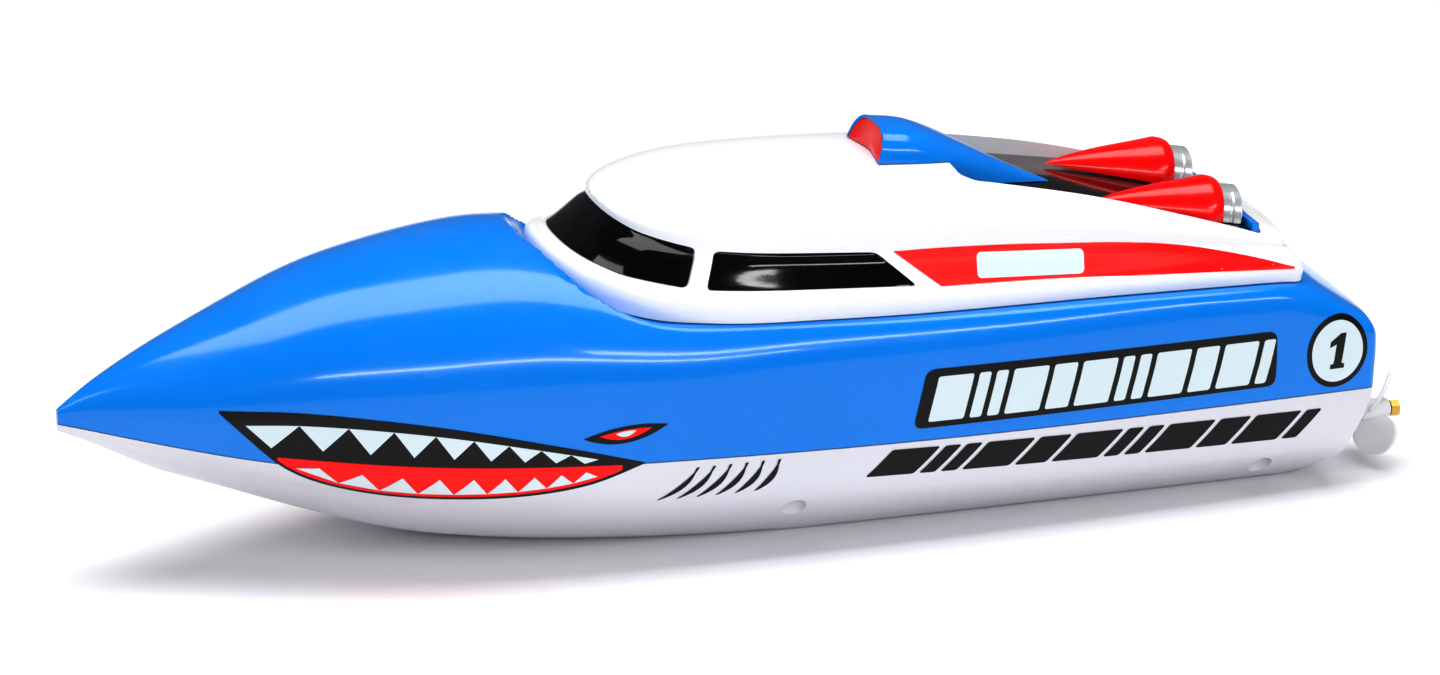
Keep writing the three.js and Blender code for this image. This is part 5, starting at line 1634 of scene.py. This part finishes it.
@dataclass
class Graphics:
    """What is printed on the boat: a shark's grin, an eye, gills, a race number and plain bars."""

    transfers: Transfers

    def build(self) -> None:
        """Lays every film."""
        self.mouth()
        self.eye()
        self.gills()
        self.plate()
        self.name_row()
        self.roundel()
        self.stripe()

    def mouth(self) -> None:
        """The grin: a black mouth, pale teeth in a steady rhythm above and below, and red between them."""
        lay = self.transfers.lay
        heel, nose = 197.0, 299.0
        upper = Line((heel, 30), (218, 35.9), (250, 43.3), (279, 46.9), (nose, 47))
        lower = Line((heel, 30), (212, 24.3), (240, 21.2), (268, 24.2), (283, 31), (nose, 46.4))
        tongue = Line((202, 29.9), (250, 32.1), (286, 34.7))

        def gum(x: float) -> float:
            """Where the upper teeth hang from, under a lip that thickens forward."""
            return upper(x) - 1.2 - 2.6 * (x - heel) / (nose - heel)

        def between(top: Callable[[float], float], low: Callable[[float], float], rear: float,
                    front: float) -> list[Pair]:
            """The outline between two lines."""
            stations = [rear + (front - rear) * k / 32 for k in range(33)]
            return [(x, top(x)) for x in stations] + [(x, low(x)) for x in stations[::-1]]

        lay("mouth_black", between(upper, lower, heel + 0.3, nose), PRINT_BLACK)
        lay("mouth_red", between(tongue, lambda x: lower(x) + 1, 203, 285.4), PRINT_RED, layer=1)
        for i, (front, rear) in enumerate(self._teeth(293, 209)):
            middle = (front + rear) / 2
            tip = gum(middle) - 0.72 * (gum(middle) - tongue(middle))
            root = [front + (rear - front) * k / 4 for k in range(5)]
            tooth = [(x, gum(x)) for x in root] + [(middle, tip)]
            lay(f"upper_tooth_{i + 1}", tooth, PRINT_PALE, layer=1, step=1.0)
        for i, (front, rear) in enumerate(self._teeth(281, 209)):
            middle = (front + rear) / 2
            tip = lower(middle) + 2 + 0.6 * (tongue(middle) - lower(middle) - 2)
            tooth = [(front, lower(front) + 2), (middle, tip), (rear, lower(rear) + 2)]
            lay(f"lower_tooth_{i + 1}", tooth, PRINT_PALE, layer=2, step=1.0)

    @staticmethod
    def _teeth(front: float, rear: float, count: int = 9, shrink: float = 0.93) -> list[Pair]:
        """The front and rear of each tooth in a row, each narrower than the one ahead of it."""
        width = (front - rear) * (1 - shrink) / (1 - shrink ** count)
        row = []
        for i in range(count):
            row.append((front, front - width * shrink ** i))
            front = row[-1][1]
        return row

    def eye(self) -> None:
        """A plain slanted eye: three pointed ovals, each within the last."""
        ovals = (("black", PRINT_BLACK, 10.6, 1.5, 3.0), ("red", PRINT_RED, 6.6, 0.6, 1.9),
                 ("pale", PRINT_PALE, 2.6, 0.3, 1.2))
        for layer, (name, finish, half, over, under) in enumerate(ovals):
            outline = self._oval(202.3, 38.8, half, over, under, -0.11)
            self.transfers.lay(f"eye_{name}", outline, finish, layer=layer, step=1.0)

    @staticmethod
    def _oval(x: float, z: float, half: float, over: float, under: float, lean: float) -> list[Pair]:
        """A pointed oval about a point: its half length, its bulge above and below, and its lean."""
        stations = [k / 8 for k in range(-8, 9)]
        top = [(x + half * s, z + lean * half * s + over * (1 - s * s)) for s in stations]
        low = [(x + half * s, z + lean * half * s - under * (1 - s * s)) for s in stations[1:-1]]
        return top + low[::-1]

    @staticmethod
    def _fair(points: Sequence[Pair]) -> list[Pair]:
        """A line of points joined by a fair curve."""
        ordered = sorted(points)
        line = Line(*ordered)
        dense = []
        for (x0, _), (x1, _) in zip(ordered, ordered[1:]):
            dense += [(x0 + (x1 - x0) * k / 4, line(x0 + (x1 - x0) * k / 4)) for k in range(4)]
        dense.append(ordered[-1])
        return dense if points[0][0] < points[-1][0] else dense[::-1]

    def gills(self) -> None:
        """Six curved gill strokes, each thin at its foot."""
        for i in range(6):
            foot = (192.6 - 4.9 * i, 18.2 + 0.1 * i)
            head = (183.6 - 4.2 * i, 27.3)
            outline = []
            for k in range(9):
                s = k / 8
                bow = 1.5 * s * (1 - s) * 2
                x = foot[0] + (head[0] - foot[0]) * s - bow
                z = foot[1] + (head[1] - foot[1]) * s - bow
                swell = 0.75 * math.sin(math.pi * min(s * 1.15, 1.0))
                outline.append((x, z, 0.25 + swell + (0.12 if s > 0.9 else 0)))
            one = [(x + w * 1.05, z) for x, z, w in outline]
            other = [(x - w * 1.05, z) for x, z, w in outline]
            self.transfers.lay(f"gill_{i + 1}", one + other[::-1], PRINT_BLACK, step=1.0)

    @staticmethod
    def _reading(centre: float) -> Callable[[Side, Vector], Vector]:
        """Turns a film about its middle on the starboard side, so that it leans the same way to the eye."""
        def shift(side: Side, p: Vector) -> Vector:
            """The point on that side."""
            return p if side is Side.PORT else Vector((2 * centre - p.x, p.y))
        return shift

    def plate(self) -> None:
        """A black plate on the topside, with slanted pale bars in place of a name."""
        edge = rounded([(127.8, 31.4), (124.6, 47), (29, 45.6), (29, 30.8)], 2.6)
        self.transfers.lay("plate", edge, PRINT_BLACK)
        self.bars("plate_bar", 124.0, 31.9, (33.0, 32.0), (44.9, 43.6), 2.6, PRINT_PALE, 1)

    def name_row(self) -> None:
        """A row of slanted black bars low on the hull, in place of lettering."""
        self.bars("row_bar", 139.6, 21.8, (19.4, 15.2), (26.4, 22.6), 6.6, PRINT_BLACK, 0)

    def bars(
        self, name: str, front: float, rear: float, low: Pair, high: Pair, lean: float, finish: Finish,
        layer: int,
    ) -> None:
        """Slanted bars of differing widths, set along the boat.

        Args:
            name: what the films are called.
            front: where the foot of the first bar begins.
            rear: where the foot of the last bar ends.
            low: height of the feet at the front and rear.
            high: height of the heads there.
            lean: how far the heads lie aft of the feet.
            finish: the bars' print.
            layer: how many films lie under them.
        """
        rhythm = (3, 1, 1, 3, 2, 3, 1, 1, 3, 2, 3, 1)
        space = 1.5
        unit = (front - rear - space * (len(rhythm) - 1)) / sum(rhythm)
        x = front
        for i, share in enumerate(rhythm):
            end = x - share * unit
            corners = []
            for at, level, shift in ((x, low, 0.0), (x, high, lean), (end, high, lean), (end, low, 0.0)):
                along = (front - at) / (front - rear)
                corners.append((at - shift, level[0] + (level[1] - level[0]) * along))
            self.transfers.lay(f"{name}_{i + 1}", rounded(corners, 0.7, 4), finish, layer=layer)
            x = end - space

    def roundel(self) -> None:
        """The race number in a ring near the stern."""
        lay = self.transfers.lay
        x, z = 11.9, 37.9

        def disc(rx: float, rz: float) -> list[Pair]:
            """An ellipse about the roundel's middle."""
            turns = [k / 28 * math.pi for k in range(56)]
            return [(x + rx * math.cos(turn), z + rz * math.sin(turn)) for turn in turns]

        lay("roundel_ring", disc(8.5, 9.8), PRINT_BLACK, step=0.8)
        lay("roundel_disc", disc(7.2, 8.3), PRINT_PALE, layer=1)
        stroke = [
            (x + 1.9, z - 4.6), (x + 1.9, z - 3.4), (x + 1.0, z - 3.2), (x + 0.3, z + 2.0),
            (x + 2.2, z + 1.2), (x + 2.0, z + 2.7), (x - 0.9, z + 4.8), (x - 2.4, z + 4.8),
            (x - 1.2, z - 3.2), (x - 2.0, z - 3.4), (x - 2.0, z - 4.6)]
        lay("roundel_one", stroke, PRINT_BLACK, layer=2, shift=self._reading(x), step=1)

    def stripe(self) -> None:
        """The red stripe along the cover, with a blank pale badge."""
        lay = self.transfers.lay
        top = [
            (130, 75.1), (119, 74.8), (108, 74.2), (97, 73.4), (85.5, 72.3), (72, 71), (60, 69.4),
            (47, 66.9), (34, 63.6), (22.4, 60.2)]
        low = [(22.4, 59.7), (40, 61), (62, 62.6), (90, 64.6), (118.4, 65.9)]
        lay("stripe", self._fair(top) + self._fair(low), PRINT_RED, body="cover", step=0.9)
        lay("stripe_badge", rounded([(108.6, 66.7), (108.2, 72.7), (79.2, 70.4), (79.8, 64.7)], 1.4),
            PRINT_PALE, body="cover", layer=1)


# ---------------------------------------------------------------- running gear and fittings
@dataclass
class Propeller:
    """A three-bladed propeller on its hub."""

    side: Side
    shop: PaintShop
    centre: tuple[float, float, float] = (-7.0, 20.0, 14.0)
    radius: float = 12.0
    hub: float = 2.8
    hub_length: float = 8.0
    chord: float = 12.6
    pitch: float = 38.0
    thickness: float = 1.0

    def blade(self) -> bpy.types.Object:
        """One blade: a flat sheet, rounded in outline, twisted and given a thickness.

        Returns:
            The blade, standing up from the shaft's line.
        """
        Bench.clear()
        bpy.ops.mesh.primitive_grid_add(x_subdivisions=14, y_subdivisions=14, size=2)
        obj = bpy.context.object
        foot = self.hub * 0.55
        reach = self.radius - foot
        for vertex in obj.data.vertices:
            u, v = vertex.co.x, vertex.co.y
            su, sv = u * math.sqrt(1 - v * v / 2), v * math.sqrt(1 - u * u / 2)
            r = foot + reach * (sv + 1) / 2
            across = su * self.chord / 2
            angle = math.radians(90 - self.side.value * (self.pitch + 16 * (0.6 - r / self.radius)))
            cup = 0.5 * (across / (self.chord / 2)) ** 2
            cosine, sine = math.cos(angle), math.sin(angle)
            spot = Vector((across * cosine + cup * sine, across * sine - cup * cosine))
            vertex.co = Vector((spot.x, spot.y, r)) * MM
        Bench.outwards(obj)
        Bench.modify(obj, "SOLIDIFY", thickness=self.thickness * MM, offset=0.0)
        return Bench.bevel(obj, 0.28, 2, 50)

    def build(self) -> None:
        """Makes the propeller on its shaft's axis."""
        half = self.hub_length / 2
        profile = [(-half, 0), (-half, self.hub * 0.72), (-half + 0.5, self.hub * 0.9),
            (-half + 1.3, self.hub), (half - 0.5, self.hub), (half, self.hub - 0.4), (half, 0)]
        made = Bench.spin(profile, 40)
        for k in range(3):
            blade = self.blade()
            turn = 2 * math.pi * k / 3 - math.pi / 5
            if self.side is Side.STARBOARD:
                turn = -turn
            blade.data.transform(Matrix.Rotation(turn, 4, "X"))
            made = Bench.combine(made, blade, "UNION")
        made = Bench.combine(made, Bench.spin([(-20, 0), (-20, 1.3), (20, 1.3), (20, 0)], 24), "DIFFERENCE")
        x, y, z = self.centre
        turn = Matrix.Rotation(-math.radians(4), 4, "Y")
        made.data.transform(Matrix.Translation(place(x, self.side.value * y, z)) @ turn)
        name = self.side.label
        present(made, f"{name}_screw_propeller", f"{name}_drive", WHITE_FITTING, self.shop,
            [f"propeller_{name}"])


@dataclass
class WellFittings:
    """The hatch lid and the switch's slider, under the cover."""

    mouldings: Mouldings
    shop: PaintShop
    lid_z: float = 52.0
    lid: float = 2.0
    rim: float = 5.0

    def build(self) -> None:
        """Makes the lid and the slider."""
        self.build_lid()
        self.build_slider()

    def build_lid(self) -> None:
        """The lid: a bevelled plate with a skirt, raised ribs and a grip."""
        z, m = self.lid_z, self.mouldings
        lid = slab(m.hatch_outline(self.rim), z, z + self.lid)
        skirt = slab(m.hatch_outline(-0.3), z - 4, z + 1)
        skirt = Bench.combine(skirt, slab(m.hatch_outline(-1.7), z - 6, z + 0.02), "DIFFERENCE")
        lid = Bench.combine(lid, skirt, "UNION")
        x = m.hatch[0]
        for offset in (-38, -28, 28, 38):
            rib = Bench.block(place(x + offset, 0, z + self.lid), (1.8, 34, 1.6))
            lid = Bench.combine(lid, rib, "UNION")
        grip = Bench.block(place(x, 0, z + self.lid + 1.98), (22, 3, 6))
        lid = Bench.combine(lid, grip, "UNION")
        lid = Bench.bevel(lid, 0.4, 2, 50)
        present(lid, "battery_hatch_lid", "hatch", BLACK_PLASTIC, self.shop, ["hatch_lid"])

    def build_slider(self) -> None:
        """The slider, with three finger ridges."""
        low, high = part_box("power_switch_slider")
        centre = (low + high) / 2
        size = (high - low) / MM
        slider = Bench.block(centre - Vector((0, 0, 0.3 * MM)), (size.x, size.y, size.z - 0.6))
        for k in (-1, 0, 1):
            ridge = Bench.block(Vector((centre.x + k * 1.2 * MM, centre.y, high.z - 0.5 * MM)),
                (0.6, size.y - 0.2, 1.0))
            slider = Bench.combine(slider, ridge, "UNION")
        slider = Bench.bevel(slider, 0.12, 2, 50)
        present(slider, "switch_slider", "switch", RED, self.shop, ["power_switch_slider"])


# ---------------------------------------------------------------- studio
@dataclass
class Studio:
    """Camera, lights and floor."""

    azimuth: float = 18.0
    elevation: float = 19.0
    distance: float = 1.75
    lens: float = 173.45
    target: tuple[float, float, float] = (0.00358, 0.0, 0.04506)

    def build(self) -> None:
        """Sets the camera, the lights and the floor."""
        self.build_camera()
        self.build_floor()
        self.build_lights()

    def build_camera(self) -> None:
        """A long lens off the port bow."""
        side, up = math.radians(self.azimuth), math.radians(self.elevation)
        back = Vector((math.sin(side) * math.cos(up), math.cos(side) * math.cos(up), math.sin(up)))
        data = bpy.data.cameras.new("camera")
        data.lens = self.lens
        data.sensor_width = 36.0
        data.sensor_fit = "HORIZONTAL"
        data.clip_start = 0.05
        data.clip_end = 30.0
        camera = bpy.data.objects.new("camera", data)
        bpy.context.scene.collection.objects.link(camera)
        camera.location = Vector(self.target) + back * self.distance
        camera.rotation_euler = back.to_track_quat("Z", "Y").to_euler()
        bpy.context.scene.camera = camera

    def build_floor(self) -> None:
        """A plain pale floor."""
        Bench.clear()
        bpy.ops.mesh.primitive_plane_add(size=14, location=(0, 0, -0.0003))
        floor = bpy.context.object
        floor.name = "floor"
        paint = bpy.data.materials.new("floor_paint")
        paint.use_nodes = True
        shader = paint.node_tree.nodes["Principled BSDF"]
        shader.inputs["Base Color"].default_value = (0.93, 0.93, 0.94, 1)
        shader.inputs["Roughness"].default_value = 0.7
        shader.inputs["Specular IOR Level"].default_value = 0.1
        floor.data.materials.append(paint)

    def lamp(self, name: str, spot: Sequence[float], aim: Sequence[float], size: Pair, power: float) -> None:
        """One soft box.

        Args:
            name: the lamp's name.
            spot: where it hangs, in metres.
            aim: what it faces.
            size: its width and height in metres.
            power: in watts.
        """
        data = bpy.data.lights.new(name, "AREA")
        data.shape = "RECTANGLE"
        data.size, data.size_y = size
        data.energy = power
        lamp = bpy.data.objects.new(name, data)
        bpy.context.scene.collection.objects.link(lamp)
        lamp.location = spot
        lamp.rotation_euler = (Vector(spot) - Vector(aim)).to_track_quat("Z", "Y").to_euler()

    def build_lights(self) -> None:
        """A pale surround with soft boxes above, to port and off the bow."""
        world = bpy.data.worlds.new("studio_air")
        world.use_nodes = True
        world.node_tree.nodes["Background"].inputs["Color"].default_value = (0.9, 0.95, 1.0, 1)
        world.node_tree.nodes["Background"].inputs["Strength"].default_value = 0.16
        bpy.context.scene.world = world
        self.lamp("top_box", (0.0, -0.05, 1.3), (0, 0, 0), (1.6, 0.7), 22)
        self.lamp("fore_strip", (0.25, 2.0, 0.86), (0, 0, 0.04), (1.9, 0.08), 12)
        self.lamp("aft_strip", (-1.0, 1.9, 1.25), (0, 0, 0.04), (1.3, 0.15), 11.5)
        self.lamp("bow_box", (1.5, 0.3, 1.0), (0, 0, 0.04), (0.5, 0.5), 4)
        bpy.context.scene.view_settings.view_transform = "Standard"
        bpy.context.scene.view_settings.gamma = 0.75


def repaint_cad(frame: dict, shop: PaintShop) -> None:
    """Gives every CAD node the finish of its slot.

    Args:
        frame: the loaded frame.
        shop: where materials come from.
    """
    by_slot = {finish.slot: finish for finish in FINISHES}
    for part in frame["record"]["subparts"]:
        node = frame["nodes"][part["node"]]
        shop.repaint(node, by_slot[part["material_slot"]])


def main() -> None:
    """Builds the boat's looks in order."""
    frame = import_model()
    Studio().build()
    shop = PaintShop()
    repaint_cad(frame, shop)
    form = HullForm()
    mouldings = Mouldings(form, shop)
    body = mouldings.build()
    cover = CabinCover(form, shop)
    cover_full = cover.build(body)
    EngineBay(shop, cover.recess).build(cover_full)
    Graphics(Transfers(shop, body, cover_full)).build()
    Bench.discard(body)
    Bench.discard(cover_full)
    for side in Side:
        Propeller(side, shop).build()
    WellFittings(mouldings, shop).build()
    Bench.clear()


if __name__ == "__main__":
    logging.basicConfig(level=logging.INFO, format="%(message)s")
    main()
